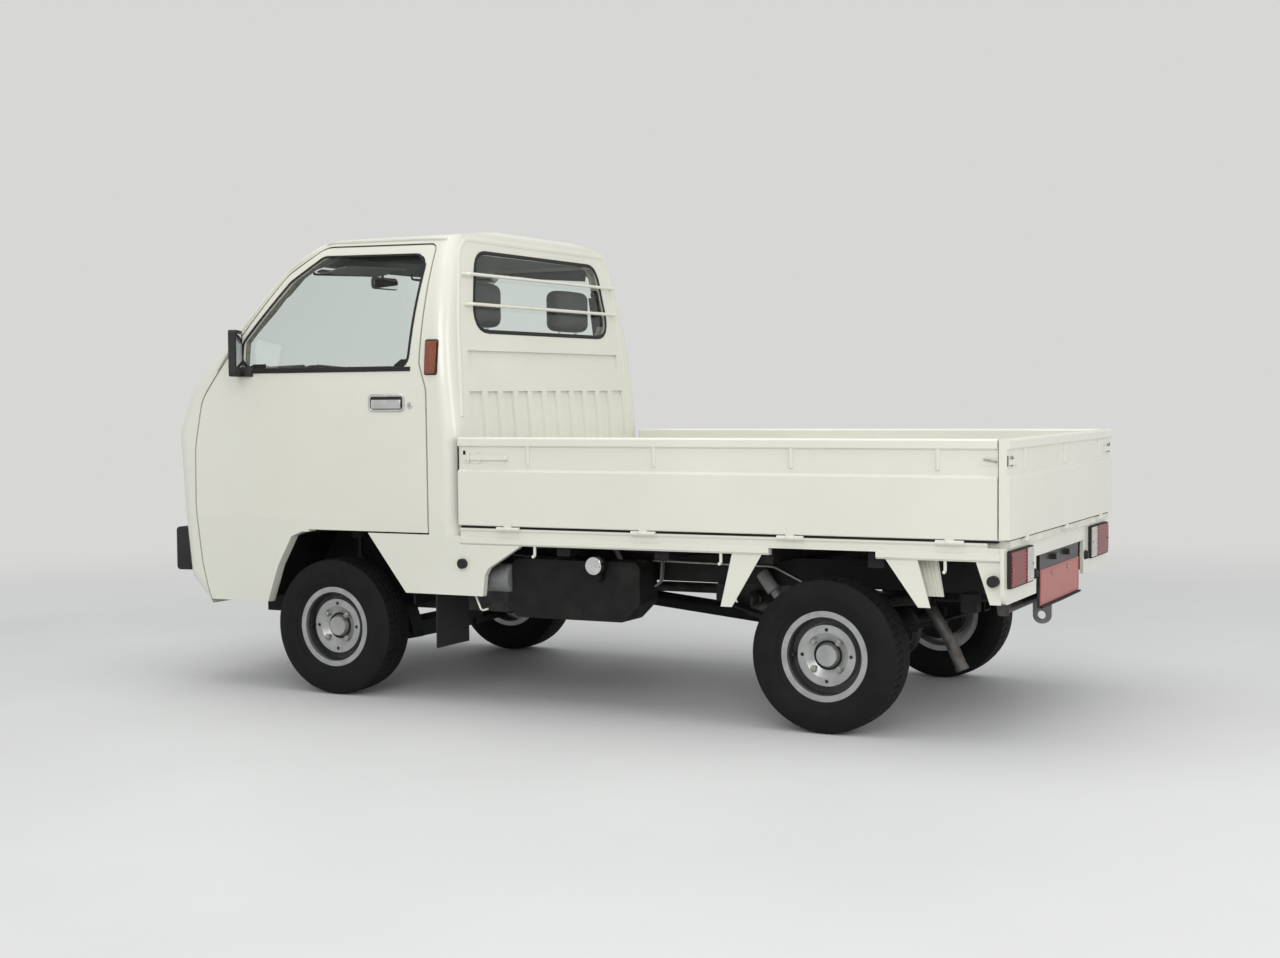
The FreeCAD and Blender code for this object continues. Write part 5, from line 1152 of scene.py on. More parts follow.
def piping(corner_points, bend):
    path = refined(rounded(corner_points, bend, steps=5), 0.02)
    return swept(path, ring_section(0.0035, 8), [Vector((0.11, 0.23, 1.0))] * len(path), closed=True)


def dress_seats():
    cushion, back, head = seat_forms()
    for name, sign in sides:
        made = pad("seat_cushion_" + name, cushion, sign)
        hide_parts("seat_" + name)
        pad("seat_back_" + name, back, sign)
        pad("headrest_" + name, head, sign)
        add("headrest_posts_" + name, on_side(headrest_posts(), sign), bright_metal, "truck")


def seat_frames():
    """Black runners under the cushions and the back's catch beside the seat."""
    forms = []
    for offset in (-0.175, 0.175):
        low = ahead(-0.330, seat_side_y + offset - 0.014, 0.6102)
        high = ahead(0.035, seat_side_y + offset + 0.014, 0.6180)
        forms.append(block(low, high))
    catch = lathed([(-0.012, 0.0), (-0.012, 0.030), (0.012, 0.030), (0.016, 0.022), (0.016, 0.0)],
                   ahead(-0.330, seat_side_y + 0.249, 0.690), "Y", count=28)
    forms.append(catch)
    for name, sign in sides:
        soften(add("seat_runners_" + name, on_side(gathered(forms), sign), trim_black, "truck"), 0.002)


dress_seats()
seat_frames()


# Cab details

cab_glass_surface = tree_of("cab_glass")
handle_low = (-0.335, 1.001)
handle_high = (-0.194, 1.053)


def door_handle():
    """Pull handle: rounded bezel, dark recess and a lifting paddle."""
    y = half_width
    bezel_path = rounded([ahead(handle_low[0], y, handle_low[1]), ahead(handle_high[0], y, handle_low[1]),
                          ahead(handle_high[0], y, handle_high[1]), ahead(handle_low[0], y, handle_high[1])],
                         0.014, steps=6)
    bezel = swept(bezel_path, flat_section(0.009, 0.0042, 0.0020), [Vector((0, 1, 0))] * len(bezel_path), closed=True)
    recess = plate_form(rectangle(across(handle_low[0] + 0.003), across(handle_high[0] - 0.003),
                                  handle_low[1] + 0.003, handle_high[1] - 0.003), 0.011, y - 0.010, y + 0.0002)
    profile = [(y - 0.0005, 0.0055), (y + 0.0040, 0.0070), (y + 0.0068, 0.0150), (y + 0.0070, 0.0300),
               (y + 0.0050, 0.0370), (y + 0.0010, 0.0385), (y - 0.0005, 0.0385)]
    paddle = slab([(b, handle_low[1] + z) for b, z in profile], across(handle_low[0] + 0.010),
                  across(handle_high[0] - 0.010), "yz")
    lock = lathed([(0.0, 0.0), (0.0, 0.011), (0.0025, 0.011), (0.0035, 0.009), (0.0035, 0.0)],
                  ahead(-0.360, half_width - 0.0003, 1.018), "Y", count=28)
    slot = plate_form(rectangle(across(-0.3610), across(-0.3590), 1.0130, 1.0230), 0.0008, half_width + 0.0025,
                      half_width + 0.0040)
    return bezel, recess, paddle, lock, slot


def dress_doors():
    bezel, recess, paddle, lock, slot = door_handle()
    for name, sign in sides:
        body = name + "_door"
        add("handle_bezel_" + name, on_side(bezel, sign), bright_metal, body)
        add("handle_recess_" + name, on_side(recess, sign), trim_black, body)
        soften(add("handle_paddle_" + name, on_side(paddle, sign), bright_metal, body), 0.0015, 3)
        add("door_lock_" + name, on_side(lock, sign), bright_metal, body)
        add("lock_slot_" + name, on_side(slot, sign), seal_black, body)


def belt_strip():
    """Rubber strip along the lower edge of the door window, with its end pieces."""
    count = 32
    spots, ups = [], []
    for step in range(count + 1):
        x = -0.362 + (0.352 + 0.362) * step / count
        spot, up = landed(door_surface, ahead(x, far_off, 1.1425), (0, -1, 0))
        if spot is not None:
            spots.append(spot)
            ups.append(up)
    strip = swept(spots, flat_section(0.015, 0.0050, 0.002), smoothed(ups, closed=False))
    forms = [strip]
    for low_x, high_x, height in ((-0.352, -0.290, 0.030), (0.262, 0.350, 0.022)):
        corners = []
        for x, z in ((low_x, 1.146), (high_x, 1.146), (high_x, 1.146 + height * 0.35),
                     (share_of(low_x, high_x, 0.55), 1.146 + height), (low_x, 1.146 + height)):
            spot, _ = landed(door_glass_surface, ahead(x, far_off, z + 0.010), (0, -1, 0))
            corners.append(Vector((spot.x, spot.y, z)) if spot is not None else ahead(x, 0.672, z))
        outer = [point + Vector((0, 0.007, 0)) for point in corners]
        count_of = len(corners)
        faces = [tuple(range(count_of)), tuple(range(count_of, 2 * count_of))]
        faces += [(index, (index + 1) % count_of, count_of + (index + 1) % count_of, count_of + index)
                  for index in range(count_of)]
        forms.append((corners + outer, faces))
    form = gathered(forms)
    for name, sign in sides:
        add("belt_strip_" + name, on_side(form, sign), seal_black, name + "_door")


def share_of(low, high, share):
    return low + (high - low) * share


door_glass_surface = tree_of("door_glass_left")
dress_doors()
belt_strip()


def window_top_strips():
    """Dark strip inside the door, under the rear half of the window's top edge."""
    frame_z = 1.5480
    outline = [(-0.372, frame_z), (0.030, frame_z), (-0.030, 1.5360), (-0.160, 1.5180), (-0.366, 1.5020)]
    inner, outer = [], []
    for x, z in outline:
        spot, _ = landed(door_surface, ahead(x, 0.40, frame_z), (0, 1, 0))
        inner.append(Vector((spot.x, spot.y - 0.0045, z)))
        outer.append(Vector((spot.x, spot.y + 0.0005, z)))
    count = len(outline)
    faces = [tuple(range(count)), tuple(range(count, 2 * count))]
    faces += [(index, (index + 1) % count, count + (index + 1) % count, count + index) for index in range(count)]
    for name, sign in sides:
        add("window_top_strip_" + name, on_side((inner + outer, faces), sign), trim_black, name + "_door")


def filler_cap():
    """Bright cap of the fuel filler on the tank's side."""
    cap = lathed([(-0.004, 0.0), (-0.004, 0.031), (0.006, 0.031), (0.012, 0.029), (0.014, 0.024), (0.0155, 0.0)],
                 Vector((0, 0, 0)), "Y", count=40)
    spot, _ = landed(tree_of("fuel_tank"), ahead(-1.037, far_off, 0.490), (0, -1, 0))
    wings = plate_form(rectangle(-0.026, 0.026, -0.005, 0.005), 0.004, 0.0140, 0.0190)
    add("filler_cap", moved(gathered([cap, wings]), spot), bright_metal, "truck")


def mirror_glass():
    """Silvered glass on the rear side of each door mirror, with its retaining rim."""
    low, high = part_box("mirror_left")
    turn = Matrix.Rotation(math.radians(27), 3, "Z")
    pivot = ahead(0.361, half_width + 0.008, 0)
    half_wide, half_tall = 0.049, 0.070
    middle = Vector((pivot.x, pivot.y + 0.059, low.z + 0.082))
    outline = [(middle.y - half_wide, middle.z - half_tall), (middle.y + half_wide, middle.z - half_tall),
               (middle.y + half_wide, middle.z + half_tall), (middle.y - half_wide, middle.z + half_tall)]
    glass = plate_form(outline, 0.010, pivot.x - 0.0130, pivot.x - 0.0115, "yz")
    path = rounded([(pivot.x - 0.0115, a, b) for a, b in grown(outline, 0.003)], 0.012, steps=5)
    rim = swept(path, flat_section(0.005, 0.0030, 0.001), [Vector((-1, 0, 0))] * len(path), closed=True)
    shifted = []
    for form in (glass, rim):
        about = Vector((pivot.x, pivot.y, 0))
        shifted.append(([turn @ (vertex - about) + about for vertex in form[0]], form[1]))
    return shifted


def dress_mirrors():
    glass, rim = mirror_glass()
    for name, sign in sides:
        add("mirror_glass_" + name, on_side(glass, sign), mirror_silver, name + "_door")
        add("mirror_rim_" + name, on_side(rim, sign), trim_black, name + "_door")


def inner_mirror():
    """Inside mirror on its stem below the header."""
    body = plate_form(rectangle(-0.060, 0.104, 1.462, 1.508), 0.016, across(0.196), across(0.210), "yz")
    glass = plate_form(rectangle(-0.056, 0.100, 1.466, 1.504), 0.013, across(0.1945), across(0.1965), "yz")
    top, _ = landed(cab_surfaces, ahead(0.205, 0.022, 1.40), (0, 0, 1))
    stem = bar([ahead(0.207, 0.022, 1.490), ahead(0.215, 0.022, 1.530), Vector((across(0.205), 0.022, top.z + 0.003))],
               0.0055, bend=0.012)
    foot = lathed([(-0.010, 0.0), (-0.010, 0.012), (-0.004, 0.017), (0.002, 0.017), (0.002, 0.0)],
                  Vector((across(0.205), 0.022, top.z)), "Z", count=20)
    soften(add("inner_mirror", body, damper_grey, "truck"), 0.004, 3)
    add("inner_mirror_glass", glass, mirror_silver, "truck")
    add("inner_mirror_stem", gathered([stem, foot]), damper_grey, "truck")


def sun_visors():
    """Padded visors folded up under the roof, with their rods."""
    forms, rods = [], []
    columns, rows = 14, 6
    for sign in (1, -1):
        upper, lower = [], []
        for column in range(columns + 1):
            for row in range(rows + 1):
                x = 0.030 + 0.135 * row / rows
                y = sign * (0.130 + 0.370 * column / columns)
                spot, _ = landed(cab_surfaces, ahead(x, y, 1.40), (0, 0, 1))
                edge = min(1.0, 5 * min(column / columns, 1 - column / columns, 0.4 * row / rows + 0.04,
                                        0.4 * (1 - row / rows) + 0.04))
                drop = 0.016 + 0.030 * (1 - row / rows)
                upper.append(Vector((across(x), y, spot.z - drop)))
                lower.append(Vector((across(x), y, spot.z - drop - 0.004 - 0.010 * edge)))
        width = rows + 1
        start = len(upper)
        faces = []
        for column in range(columns):
            for row in range(rows):
                here = column * width + row
                quad = (here, here + 1, here + width + 1, here + width)
                faces.append(quad)
                faces.append(tuple(start + index for index in quad))
        rim = [row for row in range(rows)] + [column * width + rows for column in range(columns)]
        rim += [columns * width + row for row in range(rows, 0, -1)] + [column * width for column in range(columns, 0, -1)]
        faces += [(rim[index], rim[(index + 1) % len(rim)], start + rim[(index + 1) % len(rim)], start + rim[index])
                  for index in range(len(rim))]
        forms.append((upper + lower, faces))
        ends = [landed(cab_surfaces, ahead(0.172, sign * y, 1.40), (0, 0, 1))[0] for y in (0.12, 0.51)]
        rods.append(bar([ends[0] + Vector((0, 0, 0.002)), ends[0] - Vector((0, 0, 0.020)),
                         ends[1] - Vector((0, 0, 0.020)), ends[1] + Vector((0, 0, 0.002))], 0.004, bend=0.010))
    add("sun_visors", gathered(forms), head_lining, "truck")
    add("visor_rods", gathered(rods), trim_black, "truck")


def wiper(start_y, end_y, low_z, high_z, pivot_y):
    """Wiper blade on the screen with its arm and pivot."""
    spots, ups = [], []
    for step in range(17):
        share = step / 16
        spot, up = landed(cab_glass_surface, ahead(far_off, share_of(start_y, end_y, share),
                                                   share_of(low_z, high_z, share)), (-1, 0, 0))
        if spot is not None:
            spots.append(spot + up * 0.004)
            ups.append(up)
    blade = swept(spots, [(-0.004, -0.003), (0.004, -0.003), (0.003, 0.004), (0.001, 0.009), (-0.001, 0.009),
                          (-0.003, 0.004)], ups)
    pivot, up = landed(cab_surfaces, ahead(far_off, pivot_y, 1.098), (-1, 0, 0))
    middle = spots[len(spots) // 2] + ups[len(ups) // 2] * 0.010
    arm = swept(refined([pivot + up * 0.012, middle], 0.03, closed=False),
                [(-0.005, -0.0015), (0.005, -0.0015), (0.003, 0.0025), (-0.003, 0.0025)],
                [up] * len(refined([pivot + up * 0.012, middle], 0.03, closed=False)))
    boss = bar([pivot - up * 0.003, pivot + up * 0.016], 0.010, count=18)
    return gathered([blade, arm, boss])


def wipers():
    left = wiper(0.500, 0.055, 1.150, 1.170, 0.120)
    right = wiper(-0.030, -0.470, 1.172, 1.152, -0.400)
    add("wipers", gathered([left, right]), trim_black, "truck")


def rear_frame_bead():
    """Raised edge where the pressed back panel meets the rounded corner frame."""
    corners = [(0.628, 0.980), (0.592, 1.300), (0.548, 1.545), (0.500, 1.592), (-0.500, 1.592), (-0.548, 1.545),
               (-0.592, 1.300), (-0.628, 0.980)]
    path = refined(rounded([(a, b, 0) for a, b in corners], 0.05, steps=6, closed=False), 0.03, closed=False)
    spots, ups = laid_on(cab_surfaces, [(point.x, point.y) for point in path],
                         lambda a, b: ahead(-far_off, a, b), (1, 0, 0))
    section = [(-0.011, -0.002), (0.011, -0.002), (0.009, 0.0012), (0.003, 0.0030), (-0.003, 0.0030), (-0.009, 0.0012)]
    add("rear_frame_bead", swept(spots, section, ups), paint, "truck")


def repeater_gaskets():
    """Dark bases round the amber lamps on the cab's corners."""
    spot, up = landed(cab_surfaces, ahead(-0.446, far_off, 1.1805), (0, -1, 0))
    lift = up * 0.0008
    outline = rounded([(across(-0.4695), 1.1225, 0), (across(-0.4225), 1.1225, 0), (across(-0.4225), 1.2390, 0),
                       (across(-0.4695), 1.2390, 0)], 0.006, steps=4)
    path = []
    for point in outline:
        place, _ = landed(cab_surfaces, Vector((point.x, far_off, point.y)), (0, -1, 0))
        path.append(place + lift)
    frame_form = swept(path, flat_section(0.004, 0.004, 0.001), [up] * len(path), closed=True)
    for name, sign in sides:
        add("repeater_gasket_" + name, on_side(frame_form, sign), seal_black, "truck")


window_top_strips()
filler_cap()
dress_mirrors()
inner_mirror()
sun_visors()
wipers()
rear_frame_bead()
repeater_gaskets()


# Driver's controls and inside trim

dash_rear = front_hub.x + 0.400
wheel_side = 0.330


def on_dash(x, y, z):
    return Vector((dash_rear - x, y, z))


def dash_details():
    """Instrument hood and dials, vents, radio, knobs and the glove box."""
    hood_path = rounded([on_dash(-0.030, wheel_side + 0.150, 1.080), on_dash(0.020, wheel_side + 0.150, 1.120),
                         on_dash(0.020, wheel_side - 0.150, 1.120), on_dash(-0.030, wheel_side - 0.150, 1.080)], 0.02)
    hood = slab([(dash_rear + 0.110, 1.084), (dash_rear + 0.100, 1.118), (dash_rear + 0.020, 1.128),
                 (dash_rear + 0.002, 1.122), (dash_rear + 0.006, 1.112), (dash_rear + 0.030, 1.106),
                 (dash_rear + 0.040, 1.080)], wheel_side - 0.165, wheel_side + 0.165, "xz")
    soften(add("dial_hood", hood, cabin_plastic, "truck"), 0.006, 3)
    dials = []
    for offset, radius in ((0.062, 0.046), (-0.062, 0.046)):
        dials.append(lathed([(0.001, 0.0), (0.001, radius), (-0.003, radius), (-0.005, radius - 0.004),
                             (-0.0015, radius - 0.006), (-0.0015, 0.0)], on_dash(0.0, wheel_side + offset, 1.030), "X",
                            count=36))
    add("dials", gathered(dials), trim_black, "truck")
    marks = []
    for offset in (0.062, -0.062):
        for tick in range(11):
            angle = math.radians(-125 + 25 * tick)
            way = Vector((0, -math.sin(angle), math.cos(angle)))
            start = on_dash(0.0024, wheel_side + offset, 1.030) + way * 0.030
            marks.append(bar([start, start + way * 0.007], 0.0009, count=5))
        needle = on_dash(0.0034, wheel_side + offset, 1.030)
        marks.append(bar([needle, needle + Vector((0, 0.018, 0.020))], 0.0011, count=5))
    add("dial_marks", gathered(marks), clear_lens, "truck")
    vents = []
    for place in (0.560, 0.050, -0.050, -0.560):
        for row in range(5):
            height = 1.010 + row * 0.011
            vents.append(block(on_dash(0.0045, place - 0.040, height), on_dash(-0.004, place + 0.040, height + 0.0035)))
        path = rounded([on_dash(0.001, place - 0.045, 1.003), on_dash(0.001, place + 0.045, 1.003),
                        on_dash(0.001, place + 0.045, 1.067), on_dash(0.001, place - 0.045, 1.067)], 0.006)
        vents.append(swept(path, flat_section(0.005, 0.006, 0.0015), [Vector((-1, 0, 0))] * len(path), closed=True))
    add("dash_vents", gathered(vents), trim_black, "truck")
    radio = plate_form(rectangle(-0.090, 0.090, 0.915, 0.965), 0.004, dash_rear - 0.006, dash_rear + 0.002, "yz")
    soften(add("radio", radio, trim_black, "truck"), 0.001, 2)
    knobs = [lathed([(0.0, 0.0), (0.0, 0.009), (-0.012, 0.008), (-0.014, 0.006), (-0.014, 0.0)],
                    on_dash(0.006, place, 0.940), "X", count=20) for place in (-0.072, 0.072)]
    knobs += [bar([on_dash(0.0, place, 0.893), on_dash(0.020, place, 0.893)], 0.0055, count=12)
              for place in (-0.05, 0.0, 0.05)]
    knobs += [lathed([(0.0, 0.0), (0.0, 0.010), (-0.010, 0.012), (-0.016, 0.010), (-0.016, 0.0)],
                     on_dash(0.0, place, 0.940), "X", count=20) for place in (0.180, 0.500)]
    add("dash_knobs", gathered(knobs), bright_metal, "truck")
    lid_path = rounded([on_dash(0.0005, -0.150, 0.885), on_dash(0.0005, -0.520, 0.885), on_dash(0.0005, -0.520, 0.985),
                        on_dash(0.0005, -0.150, 0.985)], 0.014)
    lid = swept(lid_path, flat_section(0.003, 0.0018, 0.0006), [Vector((-1, 0, 0))] * len(lid_path), closed=True)
    latch = plate_form(rectangle(-0.350, -0.320, 0.960, 0.976), 0.004, dash_rear - 0.008, dash_rear + 0.001, "yz")
    add("glove_box", gathered([lid, latch]), trim_black, "truck")


def wheel_details():
    """Thick grip on the steering wheel, its centre pad and the column stalks."""
    low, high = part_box("steering_wheel")
    lean = Matrix.Rotation(math.radians(wheel_lean), 3, "Y")
    centre = ahead(0.190, wheel_side, 1.0102)
    grip = lathed([(0.0142 * math.sin(math.pi * step / 5), 0.190 + 0.0142 * math.cos(math.pi * step / 5))
                   for step in range(10)], Vector((0, 0, 0)), "Z", count=64, closed=True)
    hub = lathed([(-0.020, 0.0), (-0.020, 0.050), (0.006, 0.056), (0.014, 0.050), (0.018, 0.030), (0.019, 0.0)],
                 Vector((0, 0, 0)), "Z", count=40)
    forms = [([lean @ vertex + centre for vertex in form[0]], form[1]) for form in (grip, hub)]
    add("steering_grip", gathered(forms), trim_black, "truck")
    stalks = []
    for sign in (1, -1):
        start = Vector((0.0, sign * 0.030, -0.075))
        finish_at = Vector((0.030, sign * 0.165, -0.055))
        stalks.append(bar([lean @ start + centre, lean @ finish_at + centre], 0.006, count=12))
    shroud = lathed([(-0.180, 0.0), (-0.180, 0.036), (-0.060, 0.042), (-0.035, 0.036), (-0.035, 0.0)],
                    Vector((0, 0, 0)), "Z", count=32)
    stalks.append(([lean @ vertex + centre for vertex in shroud[0]], shroud[1]))
    add("column_shroud", gathered(stalks), trim_black, "truck")


def levers_and_pedals():
    """Gear lever with its boot, hand brake and pedals."""
    boot = lathed([(0.0, 0.055), (0.006, 0.050), (0.020, 0.034), (0.030, 0.036), (0.044, 0.022), (0.052, 0.024),
                   (0.066, 0.013), (0.074, 0.0)], ahead(0.045, 0.0, 0.6100), "Z", count=36)
    lever = bar([ahead(0.045, 0.0, 0.660), ahead(0.060, 0.010, 0.790), ahead(0.072, 0.018, 0.905)], 0.0065, bend=0.05)
    knob = lathed([(-0.022, 0.0), (-0.020, 0.012), (-0.006, 0.021), (0.008, 0.022), (0.018, 0.016), (0.022, 0.0)],
                  ahead(0.073, 0.019, 0.915), "Z", count=28)
    add("gear_boot", boot, mat_rubber, "truck")
    add("gear_lever", lever, bright_metal, "truck")
    add("gear_knob", knob, trim_black, "truck")
    brake = bar([ahead(-0.060, 0.0, 0.6120), ahead(-0.085, 0.0, 0.640), ahead(-0.215, 0.0, 0.700)], 0.009, bend=0.02)
    grip = bar([ahead(-0.140, 0.0, 0.6650), ahead(-0.225, 0.0, 0.7045)], 0.014, count=16)
    add("hand_brake", gathered([brake, grip]), trim_black, "truck")
    forms = []
    for place, width in ((0.240, 0.062), (0.330, 0.062), (0.430, 0.045)):
        pedal = plate_form(rectangle(place - width / 2, place + width / 2, 0.470, 0.525), 0.008, across(0.455),
                           across(0.468), "yz")
        forms.append(pedal)
        forms.append(bar([ahead(0.466, place, 0.505), ahead(0.520, place, 0.640), ahead(0.530, place, 0.775)], 0.006,
                         bend=0.04))
    soften(add("pedals", gathered(forms), mat_rubber, "truck"), 0.002, 2)


def floor_mats():
    """Ribbed rubber mats in the footwell."""
    forms = []
    base_z = 0.3402
    for place in (0.330, -0.330):
        half = 0.150
        low_x, high_x = 0.325, 0.545
        forms.append(block(ahead(low_x, place - half, base_z), ahead(high_x, place + half, base_z + 0.005)))
        for rib in range(16):
            y = place - half + 0.014 + rib * (2 * half - 0.028) / 15
            forms.append(block(ahead(low_x + 0.012, y - 0.003, base_z + 0.005),
                               ahead(high_x - 0.012, y + 0.003, base_z + 0.0075)))
    add("floor_mats", gathered(forms), mat_rubber, "truck")


def seat_belts():
    """Belt straps from the upper anchors to the reels beside the seats."""
    section = [(-0.023, -0.0007), (0.023, -0.0007), (0.023, 0.0007), (-0.023, 0.0007)]
    belt_x = -0.455
    top, _ = landed(cab_surfaces, ahead(belt_x, 0.30, 1.430), (0, 1, 0))
    foot, _ = landed(cab_surfaces, ahead(belt_x, 0.30, 0.720), (0, 1, 0))
    start = Vector((across(belt_x), top.y - 0.012, 1.430))
    end = Vector((across(belt_x), foot.y - 0.020, 0.700))
    path = refined([start, end], 0.05, closed=False)
    strap = swept(path, section, [Vector((0, -1, 0))] * len(path))
    anchor = lathed([(0.0, 0.0), (0.0, 0.018), (-0.008, 0.016), (-0.010, 0.012), (-0.010, 0.0)],
                    Vector((start.x, start.y + 0.012, start.z + 0.012)), "Y", count=24)
    for name, sign in sides:
        add("belt_" + name, on_side(strap, sign), belt_web, "truck")
        add("belt_anchor_" + name, on_side(anchor, sign), trim_black, "truck")


def door_card_details():
    """Arm rest, window winder and inner pull on each door card."""
    def card_y(x, z):
        spot, _ = landed(door_surface, ahead(x, 0.40, z), (0, 1, 0))
        return spot.y - 0.004

    rest_y = card_y(0.0, 0.90)
    rest = slab([(rest_y + 0.002, 0.872), (rest_y + 0.002, 0.918), (rest_y - 0.030, 0.918), (rest_y - 0.044, 0.908),
                 (rest_y - 0.040, 0.890)], across(-0.200), across(0.080), "yz")
    hub_y = card_y(0.140, 0.800)
    winder = bar([ahead(0.140, hub_y + 0.003, 0.800), ahead(0.140, hub_y - 0.018, 0.800),
                  ahead(0.070, hub_y - 0.024, 0.835)], 0.006, bend=0.01)
    grip = bar([ahead(0.072, hub_y - 0.022, 0.834), ahead(0.072, hub_y - 0.052, 0.834)], 0.010, count=16)
    pull_y = card_y(-0.260, 0.980)
    pull = plate_form(rectangle(across(-0.300), across(-0.225), 0.968, 0.996), 0.010, pull_y - 0.010, pull_y + 0.002)
    for name, sign in sides:
        body = name + "_door"
        soften(add("arm_rest_" + name, on_side(rest, sign), cabin_plastic, body), 0.006, 3)
        add("window_winder_" + name, on_side(gathered([winder, grip]), sign), bright_metal, body)
        soften(add("inner_pull_" + name, on_side(pull, sign), trim_black, body), 0.002, 2)


wheel_lean = -50.0
dash_details()
wheel_details()
levers_and_pedals()
floor_mats()
seat_belts()
door_card_details()


# Front lamps

def headlamp_lens():
    """Fluted glass in front of a headlamp, following its face."""
    low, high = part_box("headlamps")
    tree = tree_of("headlamps")
    centre_y, centre_z = 0.488, (low.z + high.z) / 2
    reach = 0.082
    columns, rows = 56, 28
    spots = {}
    for column in range(columns + 1):
        for row in range(rows + 1):
            y = centre_y - reach + 2 * reach * column / columns
            z = centre_z - reach + 2 * reach * row / rows
            spot, _ = landed(tree, ahead(far_off, y, z), (-1, 0, 0))
            if spot is not None:
                flute = 0.0010 * (1 + math.cos(2 * math.pi * 14 * column / columns))
                spots[(column, row)] = spot + Vector((0.001 + flute, 0, 0))
    order = {key: index for index, key in enumerate(spots)}
    faces = []
    for column in range(columns):
        for row in range(rows):
            keys = [(column, row), (column + 1, row), (column + 1, row + 1), (column, row + 1)]
            if all(key in order for key in keys):
                faces.append([order[key] for key in keys])
    return list(spots.values()), faces


def headlamp_ring():
    """Bright ring round a headlamp."""
    low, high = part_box("headlamps")
    tree = tree_of("headlamps")
    half = (high.z - low.z) / 2
    path, ups = [], []
    for step in range(48):
        angle = 2 * math.pi * step / 48
        y, z = 0.500 + (half - 0.003) * math.cos(angle), (low.z + high.z) / 2 + (half - 0.003) * math.sin(angle)
        spot, up = landed(tree, ahead(far_off, y, z), (-1, 0, 0))
        if spot is not None:
            path.append(spot)
            ups.append(Vector((1, 0, 0)))
    return swept(path, flat_section(0.008, 0.005, 0.002), ups, closed=True)


def dress_front():
    lens = headlamp_lens()
    ring = headlamp_ring()
    for name, sign in sides:
        thicken(add("headlamp_lens_" + name, on_side(lens, sign), lamp_glass, "truck"), 0.001)
        add("headlamp_ring_" + name, on_side(ring, sign), bright_metal, "truck")


dress_front()


# Under the truck: tailpipe, brackets and braces that show below the bed

def tailpipe():
    """Open pipe that curves out behind the left rear wheel."""
    route = [(-1.300, -0.080, 0.330), (-1.450, 0.270, 0.330), (-1.700, 0.310, 0.380), (-1.950, 0.310, 0.380),
             (-2.080, 0.360, 0.400), (-2.130, 0.500, 0.385), (-2.190, 0.500, 0.290), (-2.231, 0.500, 0.200)]
    outer = bar([ahead(*point) for point in route], 0.0185, bend=0.075, count=18)
    mouth = lathed([(0.0, 0.0185), (0.0, 0.0202), (0.014, 0.0202), (0.014, 0.0185)], Vector((0, 0, 0)), "Z", 28,
                   closed=True)
    lean = (ahead(*route[-1]) - ahead(*route[-2])).normalized()
    turn = Vector((0, 0, 1)).rotation_difference(-lean)
    ring = ([turn @ vertex + ahead(*route[-1]) for vertex in mouth[0]], mouth[1])
    dark = lathed([(-0.0006, 0.0), (-0.0006, 0.0165), (0.001, 0.0165), (0.001, 0.0)], Vector((0, 0, 0)), "Z", 24)
    hole = ([turn @ vertex + ahead(*route[-1]) for vertex in dark[0]], dark[1])
    add("tailpipe", gathered([outer, ring]), exhaust_steel, "truck")
    add("tailpipe_mouth", hole, seal_black, "truck")
    strap = plate_form(rectangle(0.487, 0.513, 0.386, 0.440), 0.004, across(-2.126), across(-2.121), "yz")
    arm = bar([ahead(-2.1235, 0.500, 0.432), ahead(-2.1235, 0.452, 0.452)], 0.007)
    add("tailpipe_hanger", gathered([strap, arm]), chassis_black, "truck")


def splash_panel():
    """Ribbed plastic guard behind the rear wheel, hung under the deck's edge."""
    carried, top, foot = deck_z - 0.0256, 0.548, 0.436
    top_front, top_rear, foot_front, foot_rear = -2.118, -2.190, -2.150, -2.208
    face = 0.618
    ridge_count = 5
    forms = []
    for index in range(ridge_count):
        share = index / ridge_count
        part = 0.7 / ridge_count
        vertices = []
        for front, rear, z in ((top_front, top_rear, top), (foot_front, foot_rear, foot)):
            for inner, rise in ((0.0, 0.0), (0.2, 0.005), (0.8, 0.005), (1.0, 0.0)):
                vertices.append(ahead(front + (rear - front) * (share + 0.03 + part * inner), face + rise, z))
        forms.append((vertices, [(0, 1, 5, 4), (1, 2, 6, 5), (2, 3, 7, 6), (0, 3, 2, 1), (4, 5, 6, 7), (0, 4, 7, 3)]))
    outline = [(across(top_front), carried), (across(top_rear), carried), (across(top_rear), top),
               (across(foot_rear), foot), (across(foot_front), foot), (across(top_front), top)]
    forms.append(slab(outline, face - 0.003, face + 0.0005, "xz"))
    form = gathered(forms)
    for name, sign in sides:
        add("splash_guard_" + name, on_side(form, sign), paint, "truck")


def sill_ends():
    """Closing pieces that carry the side sills on to the rear panel."""
    section = [(0.664, 0.550), (0.684, 0.550), (0.690, 0.556), (0.690, 0.572), (0.684, 0.578), (0.684, 0.5915),
               (0.664, 0.5915)]
    form = slab(section, across(-2.3975), across(-2.3592), "yz")
    for name, sign in sides:
        add("sill_end_" + name, on_side(form, sign), paint, "truck")


